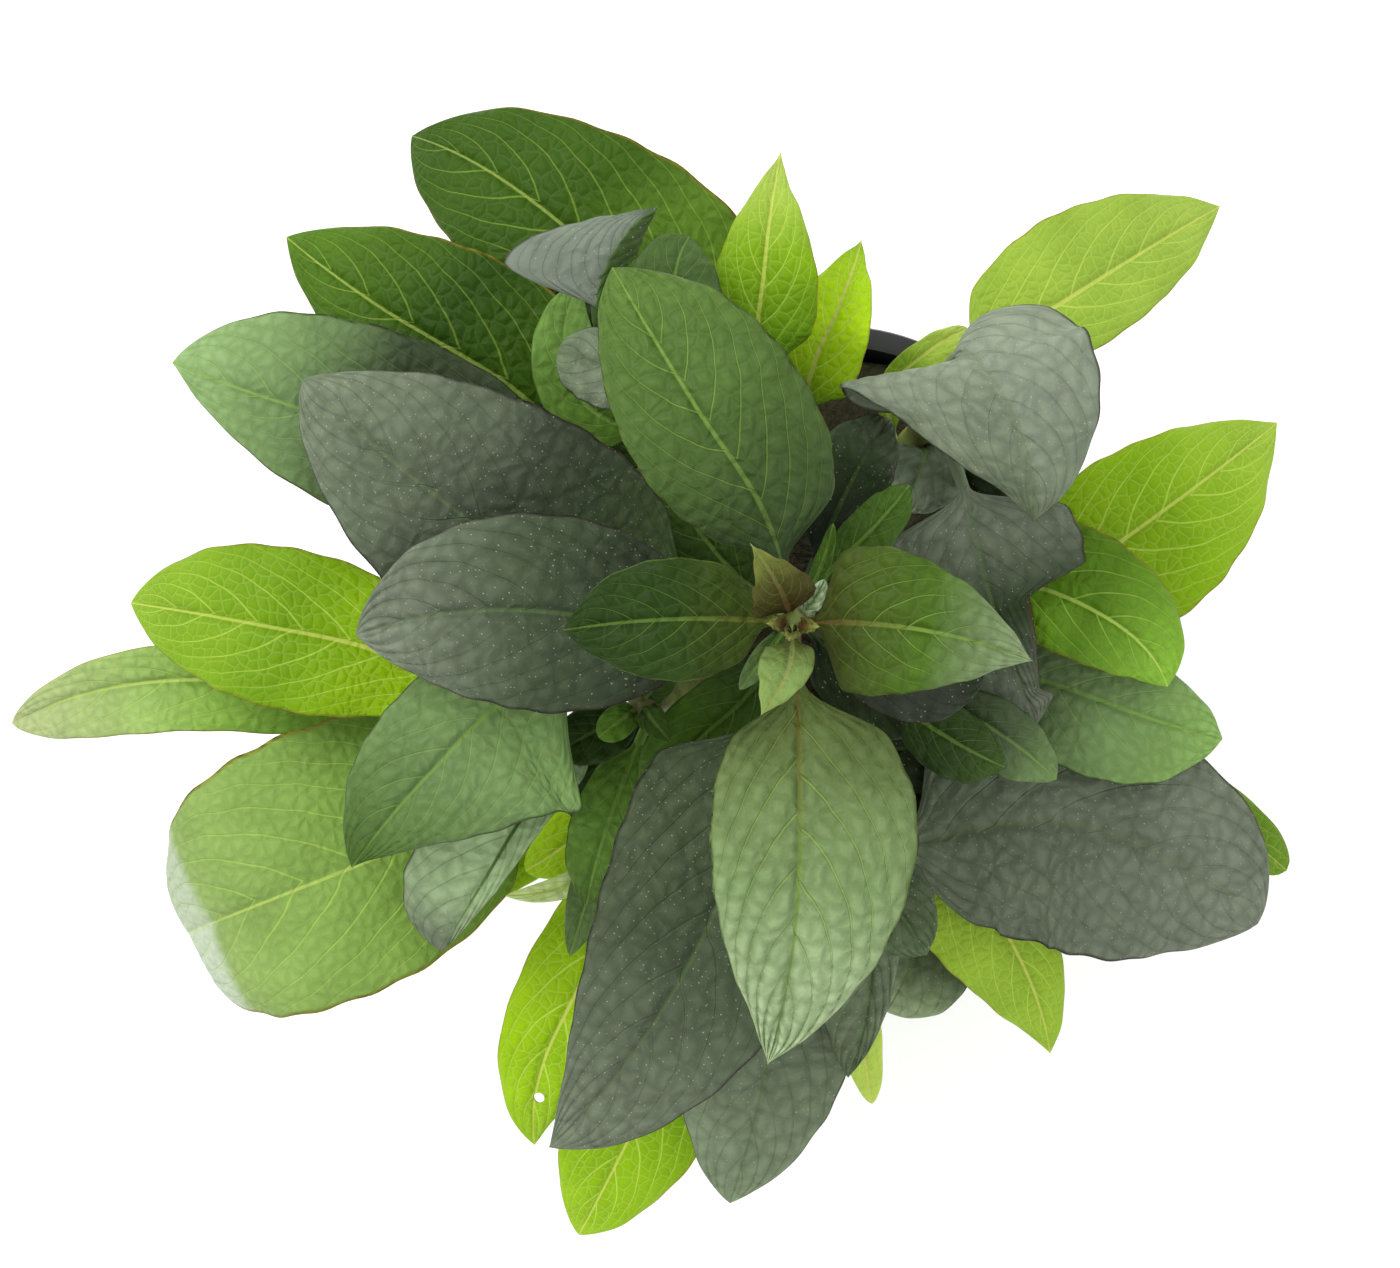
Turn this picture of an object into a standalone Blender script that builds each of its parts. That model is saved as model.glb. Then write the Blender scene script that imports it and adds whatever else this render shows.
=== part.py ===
"""A compact temple plant in a small net pot: seven leafy cuttings rooted in one plug of mineral wool.

Sizes are in millimetres and become metres when a mesh is made. The origin is the middle of the pot's
underside, +Z is up, and +Y is the back of the plant. Each leaf is one solid, a stalk and a blade lofted
along its midrib, and each shoot is an empty at the stem's foot that carries its stem and leaves.
"""

from dataclasses import dataclass

import bmesh
import bpy
import numpy as np

MM = 0.001
GAP = 0.3

# The net pot, a standard 5 cm one: rolled rim, tapered wall, root slots in the wall and round the base.
POT_HEIGHT = 50.0
RIM_RADIUS = 26.0
RIM_DEPTH = 2.4
THROAT_RADIUS = 24.8
FOOT_RADIUS = 18.0
POT_WALL = 1.2
POT_FLOOR = 1.5
POT_SIDES = 32
RIM_ROUND = 0.4
FOOT_ROUND = 0.6
WALL_SLOTS = 12
WALL_SLOT_SIZE = (2.2, 26.0)
WALL_SLOT_MIDDLE = 23.0
BASE_SLOTS = 6
BASE_SLOT_SIZE = (7.0, 2.0)
BASE_SLOT_RADIUS = 11.0

# The cutters reach this many wall or floor thicknesses, so that they pass right through.
WALL_CUT = 8
FLOOR_CUT = 3

# The plug fills the pot to just under its rim.
PLUG_TOP = 47.5
PLUG_ROUND = 1.0

# Stems are round and taper, and the leaves start just clear of them.
STEM_FOOT_RADIUS = 1.9
STEM_TIP_RADIUS = 1.1
STEM_UPRIGHT = 3.0
STEM_POINTS = 8

# A leaf's stalk and lamina. The eight points of a ring are the two margins, the midrib's top and bottom,
# and one point above and below each half at MIDDLE of its width. Over the SHOULDER, the first part of the
# blade, the stalk's octagon, whose slanting points lie at DIAGONAL of its radius, turns into the blade.
LEAF_CLEAR = 0.5
STALK_RADIUS = 0.35
STALK_PER_LENGTH = 0.008
DIAGONAL = 0.7
MIDDLE = 0.55
LAMINA = 0.6
LAMINA_SHARE = 0.4
TIP_WIDTH = 0.15
RIB_TAPER = 0.7
RIB_CREST = 0.25
SHOULDER = 0.15
BITE_EDGE = 0.3

# Rings along a blade: this many, one more for each ring spacing, within these limits.
RINGS = 3.5
RING_SPACING = 7.5
FEWEST_RINGS = 5
MOST_RINGS = 9

# Colour as sRGB hex, and roughness, of each finish.
FINISHES = {
    "leaf_crown": ("#4c6a2c", 0.5),
    "leaf_slate": ("#5b6654", 0.55),
    "leaf_deep": ("#46602f", 0.5),
    "leaf_fresh": ("#6f8f43", 0.5),
    "leaf_bright": ("#8bb030", 0.5),
    "leaf_olive": ("#6d7b34", 0.5),
    "stem": ("#7c8a4a", 0.55),
    "net_pot": ("#151614", 0.45),
    "plug": ("#6d6250", 0.95),
}


@dataclass
class Leaf:
    """One leaf: its midrib leaves the stem at height `at` and runs through the `via` points to the tip.

    wide is the greatest half width left and right of the midrib, looking from base to tip, and belly is
    where along the blade each comes. sharp is 1 for a round outline and 2 for a long point. roll turns the
    blade about its midrib, at base and tip; fold lifts each half from the midrib, and curl bends it on
    from there, both in degrees. sweep sets each half back towards the base by an angle that fades to the
    tip. bite takes a piece from one margin: side, place, half its span and depth.
    """

    name: str
    finish: str
    at: float
    stalk: float
    wide: tuple
    belly: tuple
    sharp: float
    via: list
    roll: tuple = (0, 0)
    fold: tuple = (8, 8)
    curl: tuple = (-14, -14)
    sweep: tuple = (0, 0)
    bite: tuple = None


@dataclass
class Shoot:
    """One cutting: a stem from its foot on the plug through the `via` points, and its leaves, top first."""

    name: str
    foot: tuple
    via: list
    leaves: list


SHOOTS = [
    Shoot("main", (-4, -5.5), via=[(-5, -6.5, 70), (-6, -7.5, 100), (-6.5, -8, 116)], leaves=[
        Leaf("main_1_back", "leaf_olive", at=113.5, stalk=1.2, wide=(3.3, 3.2), belly=(0.25, 0.25), sharp=1.7,
             via=[(-7.5, -5, 118), (-10.5, -0.5, 123)]),
        Leaf("main_1_front", "leaf_olive", at=113.5, stalk=1.2, wide=(2.3, 3), belly=(0.3, 0.4), sharp=1.6,
             via=[(-7, -12.5, 118), (-9.5, -16.5, 121)]),
        Leaf("main_2_left", "leaf_crown", at=108.5, stalk=1.5, wide=(6, 6), belly=(0.47, 0.47), sharp=1.7,
             via=[(-18.5, -7.5, 114), (-28.5, -8.5, 110)]),
        Leaf("main_2_right", "leaf_crown", at=108.5, stalk=1.5, wide=(7.5, 7), belly=(0.28, 0.28), sharp=1.6,
             via=[(6, -8.5, 114.5), (17, -11.5, 109)]),
        Leaf("main_3_back", "leaf_crown", at=101, stalk=5, wide=(8, 10.5), belly=(0.45, 0.45), sharp=1.5,
             via=[(-9, 3, 106), (-15.5, 13, 108), (-24, 27.5, 101)]),
        Leaf("main_3_front", "leaf_crown", at=101, stalk=5, wide=(11.5, 9), belly=(0.38, 0.38), sharp=1.9,
             via=[(-5.5, -22.5, 106), (-5.5, -31, 107.5), (-8.5, -52, 98)]),
        Leaf("main_4_left", "leaf_slate", at=93.5, stalk=7, wide=(10, 10), belly=(0.45, 0.45), sharp=1.6,
             via=[(-21.5, -7.5, 98), (-35.5, -6.5, 99), (-50.5, -9, 90)]),
        Leaf("main_4_right", "leaf_slate", at=93.5, stalk=4, wide=(5, 5.5), belly=(0.5, 0.5), sharp=1.4,
             via=[(5, -12, 97), (13.5, -13, 93)]),
        Leaf("main_5_back", "leaf_slate", at=83, stalk=5, wide=(5, 4), belly=(0.45, 0.45), sharp=1.6,
             via=[(0, 6, 83), (5, 14, 73.5)]),
        Leaf("main_5_front", "leaf_slate", at=86, stalk=9, wide=(11.5, 12.5), belly=(0.42, 0.3), sharp=1.4,
             via=[(-9.5, -26, 91), (-18, -45.5, 91), (-31, -62.5, 82)]),
        Leaf("main_6_left", "leaf_slate", at=80, stalk=8, wide=(11, 14.5), belly=(0.45, 0.42), sharp=1.4,
             via=[(-25.5, -5, 87), (-38.5, 2.5, 91), (-50, 11.5, 89), (-56.5, 17.5, 85)]),
        Leaf("main_6_front", "leaf_deep", at=78, stalk=4, wide=(4.5, 5), belly=(0.45, 0.45), sharp=1.5,
             via=[(-10.5, -15.5, 81), (-16, -20.5, 82), (-21, -27, 77)], fold=(30, 30)),
    ]),
    Shoot("west", (-11, 7), via=[(-12.5, 8.5, 60), (-16.5, 12, 74), (-18.5, 13.5, 87)], leaves=[
        Leaf("west_1_small", "leaf_slate", at=85, stalk=2.5, wide=(4, 4), belly=(0.55, 0.55), sharp=1.1,
             via=[(-25.5, 18.5, 88.5), (-30, 20, 87.5)]),
        Leaf("west_2_small", "leaf_deep", at=78, stalk=3, wide=(4, 4), belly=(0.45, 0.45), sharp=1.5,
             via=[(-27.5, 15.5, 80), (-29.5, 21, 81), (-28, 28, 79)]),
        Leaf("west_3_curled", "leaf_slate", at=79, stalk=18, wide=(10.5, 3), belly=(0.12, 0.5), sharp=2.1,
             via=[(-24.5, 20, 83), (-25.6, 26.8, 90.5), (-23.6, 30.8, 92.5), (-19.8, 34.9, 89)],
             fold=(-5, -40), sweep=(8, 0)),
        Leaf("west_4_back", "leaf_deep", at=76, stalk=6, wide=(5, 5), belly=(0.5, 0.5), sharp=1.2,
             via=[(-17, 22, 80), (-18, 27.5, 81), (-16.5, 33, 78)]),
        Leaf("west_5_left", "leaf_deep", at=75, stalk=9, wide=(10.5, 10.5), belly=(0.36, 0.58), sharp=1.6,
             via=[(-30, 5, 81), (-41.5, 10.5, 83), (-56.5, 14.5, 82), (-71.5, 20, 74)]),
        Leaf("west_6_left", "leaf_fresh", at=69, stalk=8, wide=(8.5, 11), belly=(0.36, 0.42), sharp=1.4,
             via=[(-26, 11, 73), (-37, 18.5, 76), (-49.5, 26, 75), (-60, 34, 68)]),
        Leaf("west_7_back", "leaf_fresh", at=63, stalk=8, wide=(10, 13.3), belly=(0.5, 0.3), sharp=1.3,
             via=[(-20.5, 26.5, 67), (-30.5, 35.5, 70), (-37, 40.5, 68), (-47, 46, 60)]),
    ]),
    Shoot("north", (-4, 10.5), via=[(-4.5, 13, 62), (-5.5, 15.5, 73)], leaves=[
        Leaf("north_1", "leaf_bright", at=69, stalk=4, wide=(5.7, 6.2), belly=(0.3, 0.3), sharp=2.1,
             via=[(-9, 22, 73), (-8.5, 29.5, 74.5), (-6.5, 43.5, 67)]),
        Leaf("north_2", "leaf_bright", at=62, stalk=1.5, wide=(5, 5), belly=(0.33, 0.28), sharp=1.9,
             via=[(-2.5, 21.5, 66), (-0.5, 26, 66.5), (2.5, 34.5, 60)]),
    ]),
    Shoot("east", (7.5, 8.5), via=[(8, 11, 60), (9, 15, 72), (9.5, 17, 78)], leaves=[
        Leaf("east_1_curled", "leaf_slate", at=77, stalk=5.5, wide=(11.2, 17.5), belly=(0.32, 0.2),
             sharp=1.7,
             via=[(12.5, 20.5, 83), (14.5, 18, 87.5), (16.5, 14.5, 89), (18.5, 9.5, 88.5), (19.5, 3, 82)],
             fold=(-5, 0), curl=(-10, -10), sweep=(0, 52)),
        Leaf("east_2_front", "leaf_slate", at=72, stalk=9.5, wide=(11, 10.5), belly=(0.3, 0.35), sharp=1.25,
             via=[(12, 8.5, 76), (15, -3.5, 77), (21, -18.5, 70)], bite=("left", 0.66, 0.26, 0.6)),
        Leaf("east_3_back", "leaf_bright", at=57, stalk=11, wide=(8.7, 6.5), belly=(0.4, 0.4), sharp=1.65,
             via=[(16, 22, 60), (26, 28.5, 60.5), (43.5, 39.5, 49)]),
        Leaf("east_4_inner", "leaf_deep", at=64, stalk=1.5, wide=(5, 5), belly=(0.5, 0.5), sharp=1.4,
             via=[(9, 10.5, 68), (6.5, 4.5, 67)]),
        Leaf("east_5_low", "leaf_bright", at=54, stalk=3, wide=(1.7, 2.5), belly=(0.5, 0.5), sharp=1.4,
             via=[(6.5, 19.2, 57), (10.2, 22.6, 57), (14.6, 25.4, 53)]),
    ]),
    Shoot("south_east", (6, -8.5), via=[(5.5, -11, 60), (4.5, -13.5, 70), (3.5, -15, 79)], leaves=[
        Leaf("south_east_1", "leaf_deep", at=77, stalk=2.5, wide=(3.5, 4), belly=(0.45, 0.45), sharp=1.5,
             via=[(9.5, -19, 80), (17, -23, 75)]),
        Leaf("south_east_2", "leaf_deep", at=71, stalk=6, wide=(3.5, 4), belly=(0.45, 0.45), sharp=1.4,
             via=[(15, -18.5, 75), (23, -24.5, 70)]),
        Leaf("south_east_3", "leaf_fresh", at=67, stalk=11, wide=(8, 6), belly=(0.38, 0.4), sharp=1.3,
             via=[(17, -3.5, 72), (29.5, -8, 73), (35.5, -14.5, 66)]),
        Leaf("south_east_4", "leaf_deep", at=62, stalk=11, wide=(6.5, 8.5), belly=(0.4, 0.4), sharp=1.4,
             via=[(22, -14, 65), (33.5, -18, 65), (42.5, -20.5, 58)]),
        Leaf("south_east_5", "leaf_bright", at=58, stalk=13, wide=(8.8, 10.8), belly=(0.37, 0.36),
             sharp=1.6,
             via=[(22, -5, 61.5), (32, 2, 61.5), (50, 15, 49)]),
        Leaf("south_east_6", "leaf_bright", at=53, stalk=12, wide=(4, 4), belly=(0.6, 0.6), sharp=1.2,
             via=[(29.5, -21.5, 52), (42.5, -29, 49), (52, -36, 43)]),
    ]),
    Shoot("south_west", (-13.5, -12), via=[(-16.5, -14, 60), (-19.5, -16, 72), (-21.5, -16, 84)], leaves=[
        Leaf("south_west_1", "leaf_deep", at=80, stalk=8, wide=(13.5, 8), belly=(0.2, 0.45), sharp=1.5,
             via=[(-28.5, -13.5, 84), (-35.5, -16, 85), (-43, -23, 84.5), (-52, -33.5, 78)]),
        Leaf("south_west_2", "leaf_deep", at=74, stalk=4, wide=(4, 4), belly=(0.45, 0.45), sharp=1.5,
             via=[(-24, -26, 76.5), (-26, -32, 75), (-27.5, -38, 70)]),
        Leaf("south_west_3", "leaf_slate", at=72, stalk=7, wide=(2.5, 8), belly=(0.3, 0.65), sharp=1.4,
             via=[(-32, -25.5, 76), (-38.5, -35.5, 76), (-43, -43, 70)]),
        Leaf("south_west_4", "leaf_bright", at=62, stalk=23, wide=(8.7, 8.9), belly=(0.47, 0.5), sharp=1.5,
             via=[(-39, -15, 68), (-52.5, -10, 70), (-62.5, -8, 69), (-78, -5.5, 60)]),
        Leaf("south_west_5", "leaf_fresh", at=57, stalk=20, wide=(13.8, 16.5), belly=(0.5, 0.43),
             sharp=1.25,
             via=[(-40.5, -29, 61), (-53.5, -34.5, 64), (-63.5, -38.5, 62.5), (-70.5, -41.5, 55),
                  (-73.5, -43, 46)]),
        Leaf("south_west_6", "leaf_fresh", at=54, stalk=24, wide=(5.8, 4.5), belly=(0.6, 0.5), sharp=1.5,
             via=[(-56.5, -15.5, 57), (-72, -14, 58), (-93.5, -19, 47)], fold=(8, 30)),
        Leaf("south_west_7", "leaf_deep", at=66, stalk=6, wide=(2.5, 2.5), belly=(0.5, 0.5), sharp=1.4,
             via=[(-26, -33.5, 69), (-29.5, -44, 64)]),
        Leaf("south_west_8", "leaf_bright", at=60, stalk=7, wide=(3.5, 3.5), belly=(0.55, 0.55), sharp=1.2,
             via=[(-26, -28.5, 63), (-34.5, -35, 60)]),
        Leaf("south_west_9", "leaf_bright", at=55, stalk=8, wide=(3.5, 3.5), belly=(0.5, 0.5), sharp=1.4,
             via=[(-31, -30, 57), (-41.5, -39, 55)]),
        Leaf("south_west_10", "leaf_fresh", at=64, stalk=12, wide=(1.5, 1.5), belly=(0.5, 0.5), sharp=1.4,
             via=[(-28, -35.5, 66), (-36.5, -37.5, 64)]),
        Leaf("south_west_11", "leaf_bright", at=58.5, stalk=15, wide=(6, 6.5), belly=(0.45, 0.45), sharp=1.6,
             via=[(-23.5, -37, 60), (-29, -48.5, 60.5), (-32.5, -56, 58), (-34, -66.5, 50)]),
    ]),
    Shoot("south", (-3, -18), via=[(-3.5, -20.5, 60), (-4, -23.5, 70), (-4.5, -25.5, 84)], leaves=[
        Leaf("south_1", "leaf_slate", at=82, stalk=5, wide=(4.5, 6), belly=(0.45, 0.45), sharp=1.5,
             via=[(1.5, -32.5, 86), (8.5, -42.5, 80)]),
        Leaf("south_2", "leaf_slate", at=76, stalk=9, wide=(3, 5.5), belly=(0.3, 0.45), sharp=1.4,
             via=[(2.5, -37, 80.5), (2.5, -46.5, 80), (0.5, -56, 75)]),
        Leaf("south_3", "leaf_slate", at=70, stalk=9, wide=(8.8, 9.2), belly=(0.42, 0.5), sharp=1.5,
             via=[(-5, -37.5, 74), (-8, -54.5, 73), (-12, -71, 64)]),
        Leaf("south_4_round", "leaf_slate", at=63, stalk=12, wide=(13, 14), belly=(0.45, 0.45), sharp=1.15,
             via=[(8, -31.5, 62), (16, -30, 63.5), (24, -29.5, 63.2), (34, -32.5, 60.5), (47.5, -41.5, 51)],
             fold=(0, 8)),
        Leaf("south_5_low", "leaf_bright", at=58, stalk=18, wide=(8.3, 8.5), belly=(0.45, 0.45), sharp=1.35,
             via=[(-16.5, -50.5, 61), (-23, -64.5, 58), (-29, -77, 48)]),
        Leaf("south_6_low", "leaf_bright", at=60, stalk=12, wide=(2.5, 2.5), belly=(0.55, 0.55), sharp=1.3,
             via=[(1, -45, 61), (4, -61.5, 53)]),
        Leaf("south_7_low", "leaf_bright", at=55, stalk=12, wide=(5.3, 8.4), belly=(0.42, 0.35), sharp=1.6,
             via=[(9.5, -30.5, 58), (17, -39.5, 57.5), (24.5, -56.5, 47)]),
        Leaf("south_8_curled", "leaf_slate", at=52.5, stalk=11, wide=(7, 3), belly=(0.55, 0.45), sharp=1.2,
             via=[(10, -42.5, 51), (8, -47.5, 50), (6, -52, 44)]),
    ]),
]


def linear_colour(code):
    """An sRGB hex code as linear red, green, blue and alpha."""
    values = np.array([int(code[i : i + 2], 16) for i in (1, 3, 5)]) / 255
    return (*np.where(values <= 0.04045, values / 12.92, ((values + 0.055) / 1.055) ** 2.4), 1.0)


def make_materials():
    for name, (code, roughness) in FINISHES.items():
        material = bpy.data.materials.new(name)
        material.use_nodes = True
        shader = material.node_tree.nodes["Principled BSDF"]
        shader.inputs["Base Color"].default_value = linear_colour(code)
        shader.inputs["Roughness"].default_value = roughness
        shader.inputs["Metallic"].default_value = 0.0
        material.diffuse_color = linear_colour(code)


def smooth_path(points, per_span=16):
    """Dense points on a cubic through all the given ones, whose slopes come from their neighbours."""
    points = np.array(points, float)
    knots = np.concatenate([[0.0], np.cumsum(np.linalg.norm(np.diff(points, axis=0), axis=1))])
    slopes = np.gradient(points, knots, axis=0, edge_order=min(2, len(points) - 1))
    at = np.unique(np.concatenate([np.linspace(a, b, per_span) for a, b in zip(knots, knots[1:])]))
    span = np.clip(np.searchsorted(knots, at, side="right") - 1, 0, len(knots) - 2)
    width = np.diff(knots)[span][:, None]
    s = (at - knots[span])[:, None] / width
    return (
        (2 * s**3 - 3 * s**2 + 1) * points[span]
        + (s**3 - 2 * s**2 + s) * width * slopes[span]
        + (3 * s**2 - 2 * s**3) * points[span + 1]
        + (s**3 - s**2) * width * slopes[span + 1]
    )


def lengths_along(path):
    return np.concatenate([[0.0], np.cumsum(np.linalg.norm(np.diff(path, axis=0), axis=1))])


def read_path(path, distances):
    """The points and unit directions at these distances along a path."""
    reach = lengths_along(path)
    slope = np.gradient(path, reach, axis=0)
    points = np.stack([np.interp(distances, reach, path[:, i]) for i in range(3)], axis=1)
    directions = np.stack([np.interp(distances, reach, slope[:, i]) for i in range(3)], axis=1)
    return points, directions / np.linalg.norm(directions, axis=1, keepdims=True)


def smoothstep(x):
    x = np.clip(x, 0, 1)
    return x * x * (3 - 2 * x)


def outline(t, belly, sharp):
    """A blade's half width, 0 at base and tip and 1 at the belly: t^a (1 - t)^b, with a : b as the belly."""
    t = np.clip(t, 0, 1)
    return (t / belly) ** (sharp * belly) * ((1 - t) / (1 - belly)) ** (sharp * (1 - belly))


def half_widths(leaf, t):
    """Left and right half widths of the blade, less its bite."""
    widths = [wide * outline(t, belly, leaf.sharp) for wide, belly in zip(leaf.wide, leaf.belly)]
    if leaf.bite:
        side, place, span, depth = leaf.bite
        bitten = 0 if side == "left" else 1
        inside = smoothstep((span - np.abs(t - place)) / (BITE_EDGE * span))
        widths[bitten] = widths[bitten] * (1 - depth * inside)
    return widths


def side_arc(width, share, fold, curl):
    """Where a share of the half width ends, outwards and upwards, on an arc that starts at the fold."""
    start = np.radians(fold)
    turn = np.radians(curl) + 1e-6
    end = start + turn * share
    return width * (np.sin(end) - np.sin(start)) / turn, width * (np.cos(start) - np.cos(end)) / turn


def leaf_rings(leaf, base):
    """Rings of eight points from the stalk's foot to the tip: a round stalk that widens into a thin blade."""
    path = smooth_path([base, *leaf.via])
    length = lengths_along(path)[-1]
    blade = length - leaf.stalk
    steps = int(np.clip(RINGS + blade / RING_SPACING, FEWEST_RINGS, MOST_RINGS))
    t = np.concatenate([[-1.0, -0.5], 0.5 - 0.5 * np.cos(np.pi * np.linspace(0, 1, steps + 1))])
    points, forward = read_path(path, np.where(t < 0, leaf.stalk * (1 + t), leaf.stalk + t * blade))
    flat = smoothstep(t / SHOULDER)
    t = np.clip(t, 0, 1)
    roll = np.radians(leaf.roll[0] + (leaf.roll[1] - leaf.roll[0]) * t)[:, None]
    right = np.cross(forward, (0.0, 0.0, 1.0))
    right /= np.linalg.norm(right, axis=1, keepdims=True)
    up = np.cross(right, forward)
    right, up = right * np.cos(roll) + up * np.sin(roll), up * np.cos(roll) - right * np.sin(roll)

    stalk = STALK_RADIUS + STALK_PER_LENGTH * length
    rib = stalk * (1 - RIB_TAPER * t)
    middle_share = DIAGONAL + (MIDDLE - DIAGONAL) * flat
    halves = []
    back = []
    for side, width in enumerate(half_widths(leaf, t)):
        width = np.maximum(width, np.maximum(stalk * (1 - flat), TIP_WIDTH))
        fold = leaf.fold[side] * flat
        curl = leaf.curl[side] * flat
        edge = side_arc(width, 1.0, fold, curl)
        middle = side_arc(width, middle_share, fold, curl)
        lamina = np.minimum(0.5 * LAMINA, LAMINA_SHARE * width)
        thick = DIAGONAL * stalk * (1 - flat) + lamina * flat
        swept = np.radians(leaf.sweep[side]) * flat * (1 - t)
        back.append((edge[0] * np.sin(swept), middle[0] * np.sin(swept)))
        halves.append(((edge[0] * np.cos(swept), edge[1]), (middle[0] * np.cos(swept), middle[1]), thick))
    (left_edge, left_mid, left_thick), (right_edge, right_mid, right_thick) = halves
    crest = stalk * (1 - flat) + RIB_CREST * stalk * flat
    across = np.stack([
        -left_edge[0], -left_mid[0], 0 * t, right_mid[0], right_edge[0], right_mid[0], 0 * t, -left_mid[0]
    ])
    above = np.stack([
        left_edge[1], left_mid[1] + left_thick, crest, right_mid[1] + right_thick,
        right_edge[1], right_mid[1] - right_thick, -rib, left_mid[1] - left_thick,
    ])
    (left_back, left_mid_back), (right_back, right_mid_back) = back
    behind = np.stack([
        left_back, left_mid_back, 0 * t, right_mid_back, right_back, right_mid_back, 0 * t, left_mid_back
    ])
    return (
        points[:, None]
        + across.T[..., None] * right[:, None]
        + above.T[..., None] * up[:, None]
        - behind.T[..., None] * forward[:, None]
    )


def loft(name, rings):
    """A closed mesh over rings of equal count, with a flat face on each end."""
    count, sides = rings.shape[:2]
    faces = [
        (i * sides + j, i * sides + (j + 1) % sides, (i + 1) * sides + (j + 1) % sides, (i + 1) * sides + j)
        for i in range(count - 1)
        for j in range(sides)
    ]
    faces.append(tuple(range(sides)))
    faces.append(tuple(range((count - 1) * sides, count * sides)))
    mesh = bpy.data.meshes.new(name)
    mesh.from_pydata((rings.reshape(-1, 3) * MM).tolist(), [], faces)
    work = bmesh.new()
    work.from_mesh(mesh)
    bmesh.ops.recalc_face_normals(work, faces=work.faces)
    work.to_mesh(mesh)
    work.free()
    mesh.shade_smooth()
    return mesh


def add_object(name, data, finish, collection, parent=None, location=(0, 0, 0)):
    made = bpy.data.objects.new(name, data)
    data.materials.append(bpy.data.materials[finish])
    collection.objects.link(made)
    made.parent = parent
    made.location = np.array(location) * MM
    return made


def make_leaf(leaf, shoot, stem_path, anchor, collection):
    """The leaf starts just clear of the stem, on the side that it grows to."""
    heights = stem_path[:, 2]
    centre = np.array([np.interp(leaf.at, heights, stem_path[:, i]) for i in range(3)])
    outward = np.array(leaf.via[0], float) - centre
    outward[2] = 0
    outward /= np.linalg.norm(outward)
    base = centre + outward * (stem_radius(leaf.at, heights) + LEAF_CLEAR)
    mesh = loft("leaf_" + leaf.name, leaf_rings(leaf, base) - base)
    foot = np.array([*shoot.foot, PLUG_TOP + GAP])
    add_object("leaf_" + leaf.name, mesh, leaf.finish, collection, anchor, base - foot)


def stem_radius(height, heights):
    share = np.clip((height - heights[0]) / (heights[-1] - heights[0]), 0, 1)
    return STEM_FOOT_RADIUS + (STEM_TIP_RADIUS - STEM_FOOT_RADIUS) * share


def make_stem(shoot, path, anchor, collection):
    """A tapered round tube on the shoot's own path."""
    curve = bpy.data.curves.new("stem_" + shoot.name, "CURVE")
    curve.dimensions = "3D"
    curve.bevel_depth = STEM_FOOT_RADIUS * MM
    curve.bevel_resolution = 2
    curve.use_fill_caps = True
    points = read_path(path, np.linspace(0, lengths_along(path)[-1], STEM_POINTS))[0]
    spline = curve.splines.new("POLY")
    spline.points.add(len(points) - 1)
    for place, point in zip(spline.points, points):
        place.co = (*((point - path[0]) * MM), 1.0)
        place.radius = stem_radius(point[2], path[:, 2]) / STEM_FOOT_RADIUS
    spline.use_smooth = True
    add_object("stem_" + shoot.name, curve, "stem", collection, anchor)


def make_shoot(shoot, plant, collection):
    foot = (*shoot.foot, PLUG_TOP + GAP)
    anchor = bpy.data.objects.new("shoot_" + shoot.name, None)
    anchor.empty_display_size = 5 * MM
    anchor.parent = plant
    anchor.location = np.array(foot) * MM
    collection.objects.link(anchor)
    path = smooth_path([foot, (*shoot.foot, foot[2] + STEM_UPRIGHT), *shoot.via])
    make_stem(shoot, path, anchor, collection)
    for leaf in shoot.leaves:
        make_leaf(leaf, shoot, path, anchor, collection)


def inner_radius(height):
    """The pot's inner radius at a height above its underside."""
    share = (height - POT_FLOOR) / (POT_HEIGHT - POT_FLOOR)
    foot = FOOT_RADIUS - POT_WALL
    return foot + (THROAT_RADIUS - POT_WALL - foot) * share


def turned(name, profile, steps):
    """A closed turned body: an edge profile in the XZ plane with a Screw modifier."""
    mesh = bpy.data.meshes.new(name)
    points = [(radius * MM, 0.0, height * MM) for radius, height in profile]
    mesh.from_pydata(points, [(i, i + 1) for i in range(len(points) - 1)], [])
    made = bpy.data.objects.new(name, mesh)
    screw = made.modifiers.new("turn", "SCREW")
    screw.steps = steps
    screw.render_steps = steps
    screw.use_merge_vertices = True
    screw.merge_threshold = 1e-6
    screw.use_smooth_shade = True
    return made


def add_cutter(name, size, place, angle, collection):
    """A box whose length points away from the pot's axis."""
    bpy.ops.mesh.primitive_cube_add(size=1)
    box = bpy.context.object
    box.name = name
    for owner in list(box.users_collection):
        owner.objects.unlink(box)
    collection.objects.link(box)
    box.scale = np.array(size) * MM
    box.rotation_euler = (0, 0, angle)
    box.location = np.array(place) * MM
    box.hide_render = True
    box.display_type = "WIRE"
    return box


def cut(body, cutter):
    slot = body.modifiers.new("slot", "BOOLEAN")
    slot.operation = "DIFFERENCE"
    slot.object = cutter


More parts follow.
